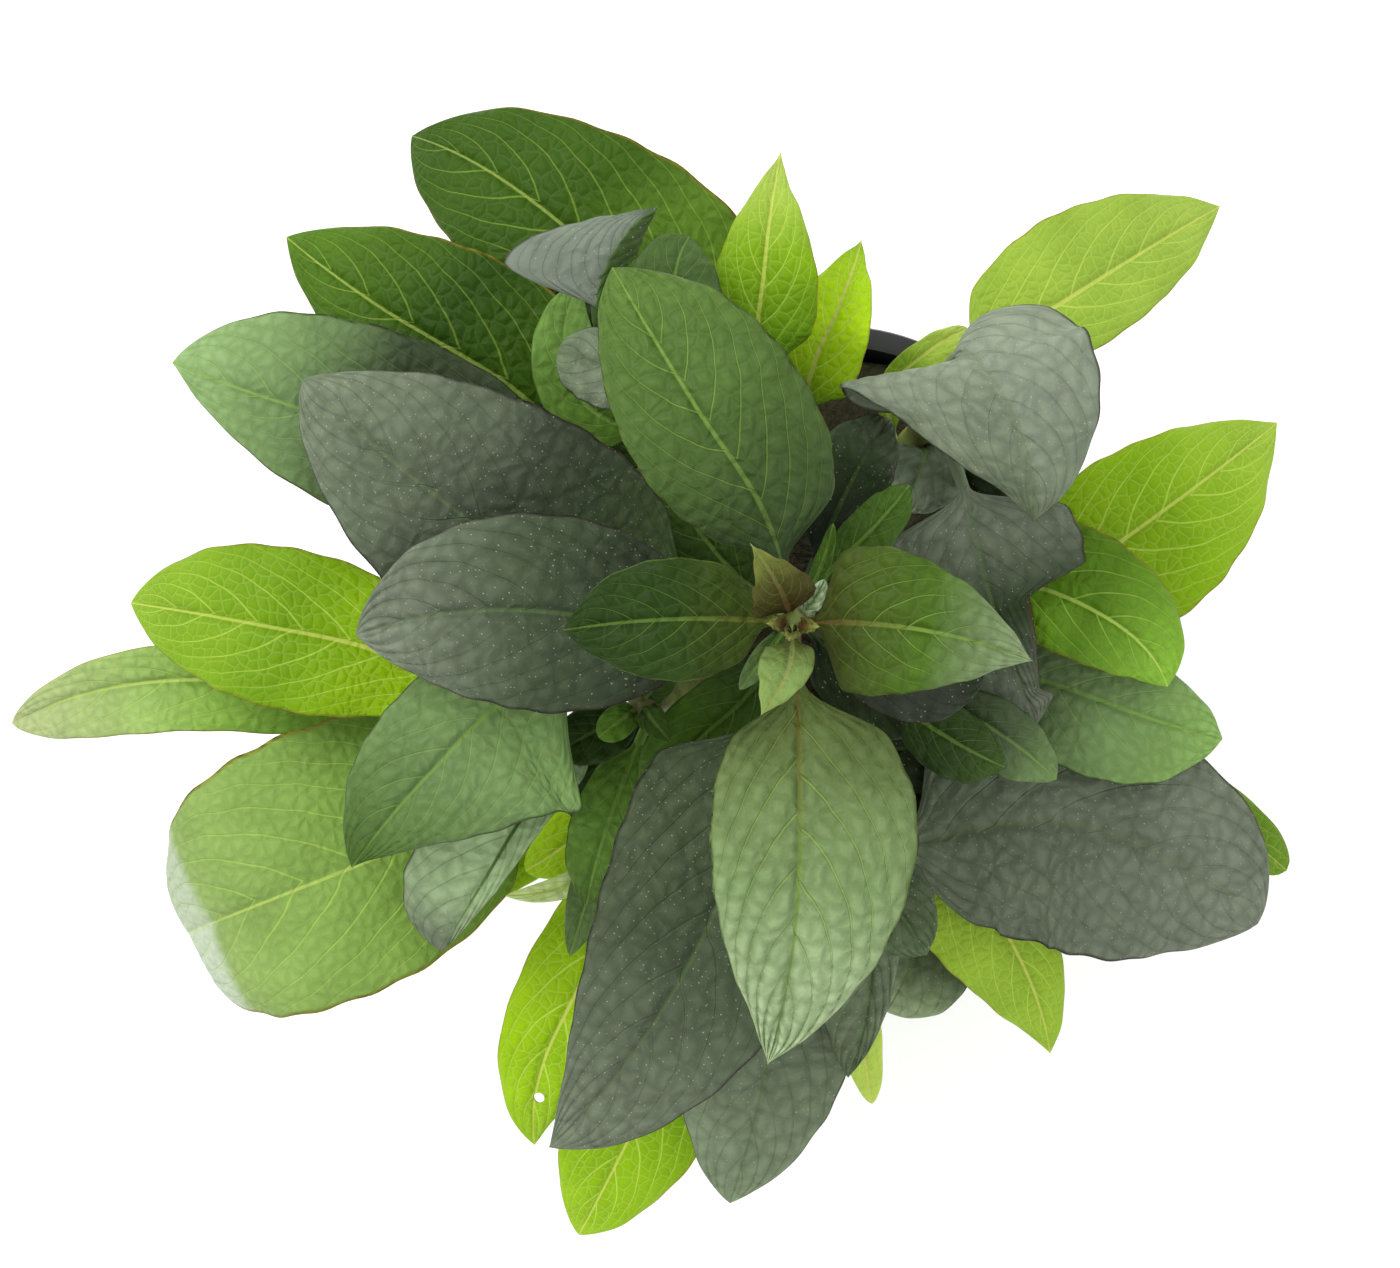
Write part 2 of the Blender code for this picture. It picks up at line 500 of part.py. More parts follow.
def make_pot(plant, collection, cutters):
    rim_foot = POT_HEIGHT - RIM_DEPTH
    profile = [
        (0, POT_FLOOR),
        (inner_radius(POT_FLOOR), POT_FLOOR),
        (inner_radius(POT_HEIGHT), POT_HEIGHT),
        (RIM_RADIUS - RIM_ROUND, POT_HEIGHT),
        (RIM_RADIUS, POT_HEIGHT - RIM_ROUND),
        (RIM_RADIUS, rim_foot),
        (inner_radius(rim_foot) + POT_WALL, rim_foot - RIM_ROUND),
        (FOOT_RADIUS, FOOT_ROUND),
        (FOOT_RADIUS - FOOT_ROUND, 0),
        (0, 0),
    ]
    pot = turned("net_pot", profile, POT_SIDES)
    pot.data.materials.append(bpy.data.materials["net_pot"])
    pot.parent = plant
    collection.objects.link(pot)
    width, height = WALL_SLOT_SIZE
    for number in range(WALL_SLOTS):
        angle = 2 * np.pi * (number + 0.5) / WALL_SLOTS
        radius = inner_radius(WALL_SLOT_MIDDLE) + 0.5 * POT_WALL
        place = (radius * np.cos(angle), radius * np.sin(angle), WALL_SLOT_MIDDLE)
        box = add_cutter(f"wall_slot_{number}", (WALL_CUT * POT_WALL, width, height), place, angle, cutters)
        cut(pot, box)
    length, width = BASE_SLOT_SIZE
    for number in range(BASE_SLOTS):
        angle = 2 * np.pi * number / BASE_SLOTS
        place = (BASE_SLOT_RADIUS * np.cos(angle), BASE_SLOT_RADIUS * np.sin(angle), 0.5 * POT_FLOOR)
        box = add_cutter(f"base_slot_{number}", (length, width, FLOOR_CUT * POT_FLOOR), place, angle, cutters)
        cut(pot, box)


def make_plug(plant, collection):
    low = POT_FLOOR + GAP
    profile = [
        (0, PLUG_TOP),
        (inner_radius(PLUG_TOP) - GAP - PLUG_ROUND, PLUG_TOP),
        (inner_radius(PLUG_TOP - PLUG_ROUND) - GAP, PLUG_TOP - PLUG_ROUND),
        (inner_radius(low) - GAP, low),
        (0, low),
    ]
    plug = turned("wool_plug", profile, POT_SIDES)
    plug.data.materials.append(bpy.data.materials["plug"])
    plug.parent = plant
    collection.objects.link(plug)


def main():
    for existing in list(bpy.data.objects):
        bpy.data.objects.remove(existing)
    collection = bpy.data.collections.new("compact_temple_plant")
    cutters = bpy.data.collections.new("cutters")
    bpy.context.scene.collection.children.link(collection)
    bpy.context.scene.collection.children.link(cutters)
    make_materials()
    plant = bpy.data.objects.new("plant", None)
    plant.empty_display_size = 10 * MM
    collection.objects.link(plant)
    make_pot(plant, collection, cutters)
    make_plug(plant, collection)
    for shoot in SHOOTS:
        make_shoot(shoot, plant, collection)


main()
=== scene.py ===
"""A compact temple plant in its net pot, dressed for a studio picture from straight above.

Sizes are in millimetres and become metres when a mesh is made; +Z is up and +Y is the top of the picture.
Every leaf is one closed thin sheet on a grid of two parameters, t from the blade's base to its tip and
v from its left margin (-1) over the midrib (0) to its right margin (1), and replaces its plain solid. The
eighteen smallest and most hidden ones have no solid.
"""

from dataclasses import dataclass

import bpy
import numpy as np
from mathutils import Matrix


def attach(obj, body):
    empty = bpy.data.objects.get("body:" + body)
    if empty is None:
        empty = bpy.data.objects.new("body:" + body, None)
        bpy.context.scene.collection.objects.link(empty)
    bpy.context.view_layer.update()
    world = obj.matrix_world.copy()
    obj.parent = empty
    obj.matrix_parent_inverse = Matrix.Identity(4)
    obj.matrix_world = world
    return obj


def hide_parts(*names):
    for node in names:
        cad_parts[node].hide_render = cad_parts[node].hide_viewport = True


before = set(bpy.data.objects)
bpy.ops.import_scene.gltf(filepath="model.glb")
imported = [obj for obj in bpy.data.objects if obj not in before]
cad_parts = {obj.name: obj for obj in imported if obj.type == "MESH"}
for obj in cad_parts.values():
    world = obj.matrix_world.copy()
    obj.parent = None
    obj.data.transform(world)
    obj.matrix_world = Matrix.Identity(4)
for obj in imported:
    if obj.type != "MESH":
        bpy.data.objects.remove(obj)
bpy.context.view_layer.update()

MM = 0.001

# The camera looks straight down. One pixel is 0.113 mm at the pot's rim in a picture 1400 pixels wide.
CAMERA = (-15.3, -8.9, 480.0)
FRAME_WIDTH = 1400
PIXEL_AT_RIM = 0.113
SENSOR = 36.0

# The net pot, as in the solids.
POT_HEIGHT = 50.0
RIM_RADIUS = 26.0
RIM_DEPTH = 2.4
THROAT_RADIUS = 24.8
FOOT_RADIUS = 18.0
POT_WALL = 1.2
POT_FLOOR = 1.5
WALL_SLOTS = 12
WALL_SLOT_SIZE = (2.2, 26.0)
WALL_SLOT_MIDDLE = 23.0
BASE_SLOTS = 6
BASE_SLOT_SIZE = (7.0, 2.0)
BASE_SLOT_RADIUS = 11.0

PLUG_TOP = 47.5
GAP = 0.3
STEM_FOOT_RADIUS = 1.9
STEM_TIP_RADIUS = 1.1
STEM_UPRIGHT = 3.0
STEM_SQUARENESS = 0.07
JOINT_SWELLING = 0.3
JOINT_REACH = 1.1

# How finely things are meshed, rows along by columns across. A leaf is large if a half is wider than this.
LARGE_HALF = 5
LARGE_GRID = (88, 45)
SMALL_GRID = (48, 27)
STEM_GRID = (120, 20)
POT_SIDES = 128
PLUG_SIDES = 144
PLUG_RINGS = (24, 40, 12)

# Leaf sheets: their thickness, how far the stalk sinks into the stem, and the stalk's radius.
LAMINA = 0.32
SINK = 0.3
STALK_RADIUS = 0.35
STALK_PER_LENGTH = 0.008
SHOULDER = 0.15
TIP_WIDTH = 0.05
BITE_EDGE = 0.3
STALK_ROWS = 8

# The margin's scallops, as shares of a half width, one to each side vein and one in long waves.
VEIN_SCALLOP = 0.01
BROAD_SCALLOP = 0.014

# Side veins slant forwards by this much of the half width, bend, and start later on the right half.
VEIN_SLANT = 0.9
VEIN_BEND = 0.27
RIGHT_VEINS_LATER = 0.35

# The groove that the midrib lies in.
GROOVE_DEPTH = 0.3
GROOVE_WIDTH = 0.55

# The `blade` map is flat on the blade, in millimetres: its midrib lies here, and each leaf has its own patch.
MIDRIB_AT = 60.0
NEXT_PATCH = 7

# How strong a leaf's broad patches are, how far the floor reaches in metres, and how bright the sky is.
MOTTLE = 0.3
FLOOR_REACH = 3.0
SKY_STRENGTH = 1.3


@dataclass
class Leaf:
    """One leaf: its midrib leaves the stem at height `at` and runs through the `via` points to the tip.

    wide, belly, sharp, fold, curl, sweep and bite shape the blade as in the solids. tone runs from dark to
    light, bloom_and_shine is partly the grey bloom of old leaves and partly a painted reflection of the lamps
    on tips and bends, and rust the red-brown of midrib or tip, each from base to tip. painted_sheen is a
    thick
    painted reflection in neutral grey: how much on the left and right half, and from where along the blade.
    veins counts the side veins of one half, quilt is the height of the bulges between them, and wave is the
    height and number of the margin's ripples. hole is a small round one: where along and across the blade,
    and its radius.
    """

    name: str
    finish: str
    at: float
    stalk: float
    wide: tuple
    via: list
    tone: tuple
    belly: tuple = (0.5, 0.5)
    sharp: float = 1.4
    fold: tuple = (8, 8)
    curl: tuple = (-14, -14)
    sweep: tuple = (0, 0)
    bite: tuple = None
    # Grey from base to tip: partly the grey bloom of old leaves, partly a painted reflection of the lamps.
    bloom_and_shine: tuple = (0, 0, 0)
    rust: tuple = (0, 0, 0)
    # Neutral grey painted on as the lamps' reflection on bent parts: amount on each half, and where it
    # starts.
    painted_sheen: tuple = (0, 0, 0)
    veins: int = 6
    quilt: float = 0.2
    wave: tuple = (0.3, 4)
    hole: tuple = None


@dataclass
class Shoot:
    """One cutting: a stem from its foot on the plug through the `via` points, and its leaves, top first."""

    name: str
    foot: tuple
    via: list
    leaves: list


# Where a leaf has a solid, its tone and bloom_and_shine mostly come from a search that matched the render to
# the photograph, and were not chosen by hand. The other rows' values are given one by one.
SHOOTS = [
    Shoot("main", (-4, -5.5), via=[(-5, -6.5, 70), (-6, -7.5, 100), (-6.5, -8, 116)], leaves=[
        Leaf("main_1_back", "leaf_olive", at=113.5, stalk=1.2, wide=(3.3, 3.2), belly=(0.25, 0.25), sharp=1.7,
             via=[(-7.5, -5, 118), (-10.5, -0.5, 123)],
             tone=(0.02, 0.24, 1), rust=(0.6, 0.35, 0.05), quilt=0.08),
        Leaf("main_1_front", "leaf_olive", at=113.5, stalk=1.2, wide=(2.3, 3), belly=(0.3, 0.4), sharp=1.6,
             via=[(-7, -12.5, 118), (-9.5, -16.5, 121)],
             tone=(0.21, 0.64, 0.86), bloom_and_shine=(0, 0.2, 0.2), rust=(0.05, 0, 0), quilt=0.08),
        Leaf("main_2_left", "leaf_crown", at=108.5, stalk=1.5, wide=(6, 6), belly=(0.47, 0.47), sharp=1.7,
             via=[(-18.5, -7.5, 114), (-28.5, -8.5, 110)],
             tone=(0.34, 0.12, 0.07), rust=(0.6, 0, 0), veins=7, quilt=0.15),
        Leaf("main_2_right", "leaf_crown", at=108.5, stalk=1.5, wide=(7.5, 7), belly=(0.28, 0.28), sharp=1.6,
             via=[(6, -8.5, 114.5), (17, -11.5, 109)],
             tone=(0.13, 0.56, 0.29), bloom_and_shine=(0, 0, 0.61), rust=(0.8, 0.05, 0.12), veins=7, quilt=0.15),
        Leaf("main_3_back", "leaf_crown", at=101, stalk=5, wide=(8, 10.5), belly=(0.45, 0.45), sharp=1.5,
             via=[(-9, 3, 106), (-15.5, 13, 108), (-24, 27.5, 101)],
             tone=(0, 0.4, 0.72), bloom_and_shine=(0.05, 0.05, 0.05), veins=8, quilt=0.3),
        Leaf("main_3_front", "leaf_crown", at=101, stalk=5, wide=(11.5, 9), belly=(0.38, 0.38), sharp=1.9,
             via=[(-5.5, -22.5, 106), (-5.5, -31, 107.5), (-8.5, -52, 98)],
             tone=(0.45, 0.56, 0.18), bloom_and_shine=(0.03, 0.3, 0.91), rust=(0.75, 0.05, 0), veins=8, quilt=0.55),
        Leaf("main_4_left", "leaf_slate", at=93.5, stalk=7, wide=(10, 10), belly=(0.45, 0.45), sharp=1.6,
             via=[(-21.5, -7.5, 98), (-35.5, -6.5, 99), (-50.5, -9, 90)],
             tone=(0.03, 0.08, 0), bloom_and_shine=(0, 0.05, 0.25), veins=8, quilt=0.45),
        Leaf("main_4_right", "leaf_slate", at=93.5, stalk=4, wide=(5, 5.5),
             via=[(5, -12, 97), (13.5, -13, 93)],
             tone=(0, 0, 0.05), bloom_and_shine=(0.05, 0.05, 0)),
        Leaf("main_5_back", "leaf_slate", at=83, stalk=5, wide=(5, 4), belly=(0.45, 0.45), sharp=1.6,
             via=[(0, 6, 83), (5, 14, 73.5)],
             tone=(0, 0.08, 0.13), bloom_and_shine=(0, 0, 0.14), veins=7, quilt=0.3),
        Leaf("main_5_front", "leaf_slate", at=86, stalk=9, wide=(11.5, 12.5), belly=(0.42, 0.3),
             via=[(-9.5, -26, 91), (-18, -45.5, 91), (-31, -62.5, 82)],
             tone=(0.13, 0.08, 0.03), bloom_and_shine=(0.05, 0.05, 0.19), veins=9, quilt=0.3),
        Leaf("main_6_left", "leaf_slate", at=80, stalk=8, wide=(11, 14.5), belly=(0.45, 0.42),
             via=[(-25.5, -5, 87), (-38.5, 2.5, 91), (-50, 11.5, 89), (-56.5, 17.5, 85)],
             tone=(0.2, 0.04, 0.09), bloom_and_shine=(0, 0.05, 0.19), veins=9, quilt=0.3),
        Leaf("main_6_front", "leaf_deep", at=78, stalk=4, wide=(4.5, 5), belly=(0.45, 0.45), sharp=1.5,
             via=[(-10.5, -15.5, 81), (-16, -20.5, 82), (-21, -27, 77)], fold=(30, 30),
             tone=(0, 0.32, 0.32), quilt=0.15),
        Leaf("main_bud_left", "leaf_olive", at=115.2, stalk=0.3, wide=(0.8, 0.8), belly=(0.4, 0.4),
             via=[(-7.6, -7.9, 117), (-8.9, -7.9, 118.2)],
             tone=(0.1, 0.2, 0.9), rust=(0.9, 0.7, 0), veins=4, quilt=0),
        Leaf("main_bud_right", "leaf_olive", at=115.2, stalk=0.3, wide=(0.8, 0.8), belly=(0.4, 0.4),
             via=[(-5.3, -8.1, 117), (-4, -8.2, 118.2)],
             tone=(0.1, 0.2, 0.9), rust=(0.9, 0.7, 0), veins=4, quilt=0),
        Leaf("main_bud_tip", "leaf_olive", at=115.6, stalk=0.2, wide=(0.7, 0.7), belly=(0.4, 0.4), sharp=1.3,
             via=[(-6.6, -8.8, 117.4), (-6.8, -9.4, 118.6)],
             tone=(0.2, 0.4, 0.7), rust=(0.6, 0.4, 0.1), veins=4, quilt=0),
        Leaf("main_axil_back", "leaf_slate", at=107.5, stalk=0.4, wide=(1, 1), sharp=1.2,
             via=[(-4, -5.4, 109.2), (-3.2, -3.6, 109.8)],
             tone=(0.3, 0.4, 0.4), bloom_and_shine=(0.2, 0.3, 0.3), veins=4, quilt=0.1),
        Leaf("main_axil_right", "leaf_deep", at=94, stalk=0.8, wide=(0.9, 0.9), sharp=1.2,
             via=[(-3.2, -2.4, 96), (-1.9, 2.2, 97)],
             tone=(0.2, 0.3, 0.4), veins=4, quilt=0.1),
        Leaf("main_axil_left", "leaf_deep", at=98.5, stalk=0.5, wide=(1.2, 1.2), sharp=1.2,
             via=[(-8.8, -11, 100.5), (-11.3, -14.4, 100.5)],
             tone=(0.15, 0.3, 0.4), bloom_and_shine=(0, 0.1, 0.2), veins=4, quilt=0.1),
        Leaf("main_7_back", "leaf_deep", at=87, stalk=4, wide=(2.6, 2.6),
             via=[(-2, -2.5, 89.5), (2.5, 2, 90), (6.3, 6.4, 86)],
             tone=(0.15, 0.25, 0.3)),
        # Its very dark tone is partly the leaf's own deep green and partly painted shade of the plant's
        # inside.
        Leaf("main_7_left", "leaf_deep", at=75, stalk=3, wide=(5, 5),
             via=[(-11, -3, 77), (-17, 4, 77.5), (-25.5, 14, 73)],
             tone=(0.1, 0.15, 0.2)),
        # Its very dark tone is partly the leaf's own colour and partly painted shade of the plant's inside.
        Leaf("main_7_right", "leaf_slate", at=74, stalk=2, wide=(5.5, 5.5),
             via=[(-0.5, -11.5, 76), (4.5, -14.5, 77), (10.5, -18.5, 74)],
             tone=(0.05, 0.08, 0.1)),
    ]),
    Shoot("west", (-11, 7), via=[(-12.5, 8.5, 60), (-16.5, 12, 74), (-18.5, 13.5, 87)], leaves=[
        Leaf("west_1_small", "leaf_slate", at=85, stalk=2.5, wide=(4, 4), belly=(0.55, 0.55), sharp=1.1,
             via=[(-25.5, 18.5, 88.5), (-30, 20, 87.5)],
             tone=(0.08, 0.08, 0.19), bloom_and_shine=(0.2, 0.2, 0.13), veins=5, quilt=0.15),
        Leaf("west_2_small", "leaf_deep", at=78, stalk=3, wide=(4, 4), belly=(0.45, 0.45), sharp=1.5,
             via=[(-27.5, 15.5, 80), (-29.5, 21, 81), (-28, 28, 79)],
             tone=(0.36, 0.52, 0.68), bloom_and_shine=(0, 0.05, 0.12), quilt=0.15),
        Leaf("west_3_curled", "leaf_slate", at=79, stalk=18, wide=(10.5, 3), belly=(0.12, 0.5), sharp=2.1,
             via=[(-24.5, 20, 83), (-25.6, 26.8, 90.5), (-23.6, 30.8, 92.5), (-19.8, 34.9, 89)],
             fold=(-5, -40), sweep=(8, 0),
             tone=(0.15, 0.2, 0.25), painted_sheen=(0.2, 0, 0), veins=7, quilt=0.15),
        Leaf("west_4_back", "leaf_deep", at=76, stalk=6, wide=(5, 5), sharp=1.2,
             via=[(-17, 22, 80), (-18, 27.5, 81), (-16.5, 33, 78)],
             tone=(0.2, 0.2, 0.2), bloom_and_shine=(0.05, 0.05, 0.05), quilt=0.15),
        Leaf("west_5_left", "leaf_deep", at=75, stalk=9, wide=(10.5, 10.5), belly=(0.36, 0.58), sharp=1.6,
             via=[(-30, 5, 81), (-41.5, 10.5, 83), (-56.5, 14.5, 82), (-71.5, 20, 74)],
             tone=(0.04, 0.04, 0.8), bloom_and_shine=(0.05, 0.05, 0.39), veins=9),
        Leaf("west_6_left", "leaf_fresh", at=69, stalk=8, wide=(8.5, 11), belly=(0.36, 0.42),
             via=[(-26, 11, 73), (-37, 18.5, 76), (-49.5, 26, 75), (-60, 34, 68)],
             tone=(0.15, 0.04, 0.2), veins=8),
        Leaf("west_7_back", "leaf_fresh", at=63, stalk=8, wide=(10, 13.3), belly=(0.5, 0.3), sharp=1.3,
             via=[(-20.5, 26.5, 67), (-30.5, 35.5, 70), (-37, 40.5, 68), (-47, 46, 60)],
             tone=(0.35, 0.08, 0.08), bloom_and_shine=(0.07, 0, 0), veins=8),
        # Its very dark tone is partly the leaf's own deep green and partly painted shade of the plant's
        # inside.
        Leaf("west_8_inner", "leaf_deep", at=68, stalk=4, wide=(4.5, 4.5), sharp=1.3,
             via=[(-22.5, 18, 71), (-28.5, 25, 72.5), (-35, 31, 71)],
             tone=(0.03, 0.05, 0.06)),
    ]),
    Shoot("north", (-4, 10.5), via=[(-4.5, 13, 62), (-5.5, 15.5, 73)], leaves=[
        Leaf("north_1", "leaf_bright", at=69, stalk=4, wide=(5.7, 6.2), belly=(0.3, 0.3), sharp=2.1,
             via=[(-9, 22, 73), (-8.5, 29.5, 74.5), (-6.5, 43.5, 67)],
             tone=(0, 0.32, 0.59), bloom_and_shine=(0, 0, 0.41), veins=7, quilt=0.12),
        Leaf("north_2", "leaf_bright", at=62, stalk=1.5, wide=(5, 5), belly=(0.33, 0.28), sharp=1.9,
             via=[(-2.5, 21.5, 66), (-0.5, 26, 66.5), (2.5, 34.5, 60)],
             tone=(0, 1, 0.35), rust=(0.2, 0, 0), veins=7, quilt=0.12),
    ]),
    Shoot("east", (7.5, 8.5), via=[(8, 11, 60), (9, 15, 72), (9.5, 17, 78)], leaves=[
        Leaf("east_1_curled", "leaf_slate", at=77, stalk=5.5, wide=(11.2, 17.5), belly=(0.32, 0.2), sharp=1.7,
             via=[(12.5, 20.5, 83), (14.5, 18, 87.5), (16.5, 14.5, 89), (18.5, 9.5, 88.5), (19.5, 3, 82)],
             fold=(-5, 0), curl=(-10, -10), sweep=(0, 52),
             tone=(0.05, 0.05, 0.2), bloom_and_shine=(0.3, 0.21, 0.14), painted_sheen=(0.05, 0, 0), veins=7, quilt=0.15),
        Leaf("east_2_front", "leaf_slate", at=72, stalk=9.5, wide=(11, 10.5), belly=(0.3, 0.35), sharp=1.25,
             via=[(12, 8.5, 76), (15, -3.5, 77), (21, -18.5, 70)], bite=("left", 0.66, 0.26, 0.6),
             tone=(0.03, 0.08, 0), bloom_and_shine=(0.27, 0, 0.2), veins=8, quilt=0.25),
        Leaf("east_3_back", "leaf_bright", at=57, stalk=11, wide=(8.7, 6.5), belly=(0.4, 0.4), sharp=1.65,
             via=[(16, 22, 60), (26, 28.5, 60.5), (43.5, 39.5, 49)],
             tone=(0.52, 0.36, 0.47), bloom_and_shine=(0.15, 0.15, 0.22), veins=8, quilt=0.12),
        Leaf("east_4_inner", "leaf_deep", at=64, stalk=1.5, wide=(5, 5),
             via=[(9, 10.5, 68), (6.5, 4.5, 67)],
             tone=(0.03, 0.08, 0), bloom_and_shine=(0, 0.35, 1), quilt=0.3),
        Leaf("east_5_low", "leaf_bright", at=54, stalk=3, wide=(1.7, 2.5),
             via=[(6.5, 19.2, 57), (10.2, 22.6, 57), (14.6, 25.4, 53)],
             tone=(0.28, 0.28, 1), bloom_and_shine=(0.05, 0.05, 0.52), quilt=0.1),
        # Its very dark tone is partly the leaf's own colour and partly painted shade of the plant's inside.
        Leaf("east_6_inner", "leaf_slate", at=63, stalk=2, wide=(5, 5), sharp=1.3,
             via=[(11.5, 10.5, 65), (14, 7, 65.5), (17.5, 1.5, 62)],
             tone=(0.04, 0.06, 0.1)),
    ]),
    Shoot("south_east", (6, -8.5), via=[(5.5, -11, 60), (4.5, -13.5, 70), (3.5, -15, 79)], leaves=[
        Leaf("south_east_1", "leaf_deep", at=77, stalk=2.5, wide=(3.5, 4), belly=(0.45, 0.45), sharp=1.5,
             via=[(9.5, -19, 80), (17, -23, 75)],
             tone=(0.08, 0.08, 0.19), quilt=0.15),
        Leaf("south_east_2", "leaf_deep", at=71, stalk=6, wide=(3.5, 4), belly=(0.45, 0.45),
             via=[(15, -18.5, 75), (23, -24.5, 70)],
             tone=(0.03, 0.08, 0.51), bloom_and_shine=(0, 0.1, 0.24), quilt=0.15),
        Leaf("south_east_3", "leaf_fresh", at=67, stalk=11, wide=(8, 6), belly=(0.38, 0.4), sharp=1.3,
             via=[(17, -3.5, 72), (29.5, -8, 73), (35.5, -14.5, 66)],
             tone=(0.43, 0.16, 0.59), bloom_and_shine=(0, 0, 0.07), veins=7),
        Leaf("south_east_4", "leaf_deep", at=62, stalk=11, wide=(6.5, 8.5), belly=(0.4, 0.4),
             via=[(22, -14, 65), (33.5, -18, 65), (42.5, -20.5, 58)],
             tone=(0.06, 0.44, 1), bloom_and_shine=(0.13, 0.2, 0.2), veins=7),
        Leaf("south_east_5", "leaf_bright", at=58, stalk=13, wide=(8.8, 10.8), belly=(0.37, 0.36), sharp=1.6,
             via=[(22, -5, 61.5), (32, 2, 61.5), (50, 15, 49)],
             tone=(0.41, 0.36, 0.52), bloom_and_shine=(0, 0, 0.14), veins=8, quilt=0.15),
        Leaf("south_east_6", "leaf_bright", at=53, stalk=12, wide=(4, 4), belly=(0.6, 0.6), sharp=1.2,
             via=[(29.5, -21.5, 52), (42.5, -29, 49), (52, -36, 43)],
             tone=(0.16, 0.16, 0.16), bloom_and_shine=(0.05, 0.05, 0.05), veins=7, quilt=0.12),
    ]),
    Shoot("south_west", (-13.5, -12), via=[(-16.5, -14, 60), (-19.5, -16, 72), (-21.5, -16, 84)], leaves=[
        Leaf("south_west_1", "leaf_deep", at=80, stalk=8, wide=(13.5, 8), belly=(0.2, 0.45), sharp=1.5,
             via=[(-28.5, -13.5, 84), (-35.5, -16, 85), (-43, -23, 84.5), (-52, -33.5, 78)],
             tone=(0.78, 0.4, 0.24), bloom_and_shine=(0.27, 0.2, 0), veins=8, quilt=0.25),
        Leaf("south_west_2", "leaf_deep", at=74, stalk=4, wide=(4, 4), belly=(0.45, 0.45), sharp=1.5,
             via=[(-24, -26, 76.5), (-26, -32, 75), (-27.5, -38, 70)],
             tone=(0.37, 0.64, 0.26), bloom_and_shine=(0, 0.05, 0)),
        Leaf("south_west_3", "leaf_slate", at=72, stalk=7, wide=(2.5, 8), belly=(0.3, 0.65),
             via=[(-32, -25.5, 76), (-38.5, -35.5, 76), (-43, -43, 70)],
             tone=(1, 1, 0), bloom_and_shine=(0.35, 0.35, 0.15), veins=8, quilt=0.25),
        Leaf("south_west_4", "leaf_bright", at=62, stalk=23, wide=(8.7, 8.9), belly=(0.47, 0.5), sharp=1.5,
             via=[(-39, -15, 68), (-52.5, -10, 70), (-62.5, -8, 69), (-78, -5.5, 60)],
             tone=(0.73, 0.24, 0.35), bloom_and_shine=(0, 0, 0.07), veins=8, quilt=0.15),
        Leaf("south_west_5", "leaf_fresh", at=57, stalk=20, wide=(13.8, 16.5), belly=(0.5, 0.43), sharp=1.25,
             via=[(-40.5, -29, 61), (-53.5, -34.5, 64), (-63.5, -38.5, 62.5), (-70.5, -41.5, 55),
             (-73.5, -43, 46)],
             tone=(0.26, 0.26, 0.2), bloom_and_shine=(0, 0.16, 0.3), painted_sheen=(0.5, 0.42, 0.76), veins=9),
        Leaf("south_west_6", "leaf_fresh", at=54, stalk=24, wide=(5.8, 4.5), belly=(0.6, 0.5), sharp=1.5,
             via=[(-56.5, -15.5, 57), (-72, -14, 58), (-93.5, -19, 47)], fold=(8, 30),
             tone=(0.44, 0.44, 0.01), bloom_and_shine=(0.15, 0.15, 0.56), veins=8, quilt=0.12),
        Leaf("south_west_7", "leaf_deep", at=66, stalk=6, wide=(2.5, 2.5),
             via=[(-26, -33.5, 69), (-29.5, -44, 64)],
             tone=(0.28, 0.28, 0.28), bloom_and_shine=(0.1, 0.1, 0.1), quilt=0.15),
        Leaf("south_west_8", "leaf_bright", at=60, stalk=7, wide=(3.5, 3.5), belly=(0.55, 0.55), sharp=1.2,
             via=[(-26, -28.5, 63), (-34.5, -35, 60)],
             tone=(0.68, 0.68, 0.68), quilt=0.12),
        Leaf("south_west_9", "leaf_bright", at=55, stalk=8, wide=(3.5, 3.5),
             via=[(-31, -30, 57), (-41.5, -39, 55)],
             tone=(0.4, 0.6, 0.6), quilt=0.12),
        Leaf("south_west_10", "leaf_fresh", at=64, stalk=12, wide=(1.5, 1.5),
             via=[(-28, -35.5, 66), (-36.5, -37.5, 64)],
             tone=(1, 1, 1), bloom_and_shine=(0.85, 0.85, 0.85), quilt=0.1),
        Leaf("south_west_11", "leaf_bright", at=58.5, stalk=15, wide=(6, 6.5), belly=(0.45, 0.45), sharp=1.6,
             via=[(-23.5, -37, 60), (-29, -48.5, 60.5), (-32.5, -56, 58), (-34, -66.5, 50)],
             tone=(0.56, 0.56, 0.56), veins=7, quilt=0.15, hole=(0.75, -0.12, 0.6)),
        Leaf("south_west_12_round", "leaf_deep", at=82, stalk=0.8, wide=(1.8, 1.8), belly=(0.55, 0.55),
             sharp=1.1,
             via=[(-23.2, -17.6, 84.6), (-25.8, -19.6, 85.4)],
             tone=(0.25, 0.4, 0.5), veins=5, quilt=0.1),
        # Its very dark tone is partly the leaf's own deep green and partly painted shade of the plant's
        # inside.
        Leaf("south_west_13_inner", "leaf_deep", at=67, stalk=2, wide=(5.5, 6), sharp=1.3,
             via=[(-21.2, -20.5, 69.5), (-23.5, -27, 70), (-26, -34, 67)],
             tone=(0.05, 0.08, 0.1)),
        # Its very dark tone is partly the leaf's own deep green and partly painted shade of the plant's
        # inside.
        Leaf("south_west_14_inner", "leaf_deep", at=77, stalk=1, wide=(3.4, 3), sharp=1.3,
             via=[(-25, -18.4, 79.5), (-30.5, -21.5, 78)],
             tone=(0.08, 0.1, 0.12)),
        Leaf("south_west_15_tip", "leaf_deep", at=83.2, stalk=0.5, wide=(1.7, 1.7), belly=(0.45, 0.45),
             via=[(-20, -14.4, 86), (-17.4, -12, 86.5)],
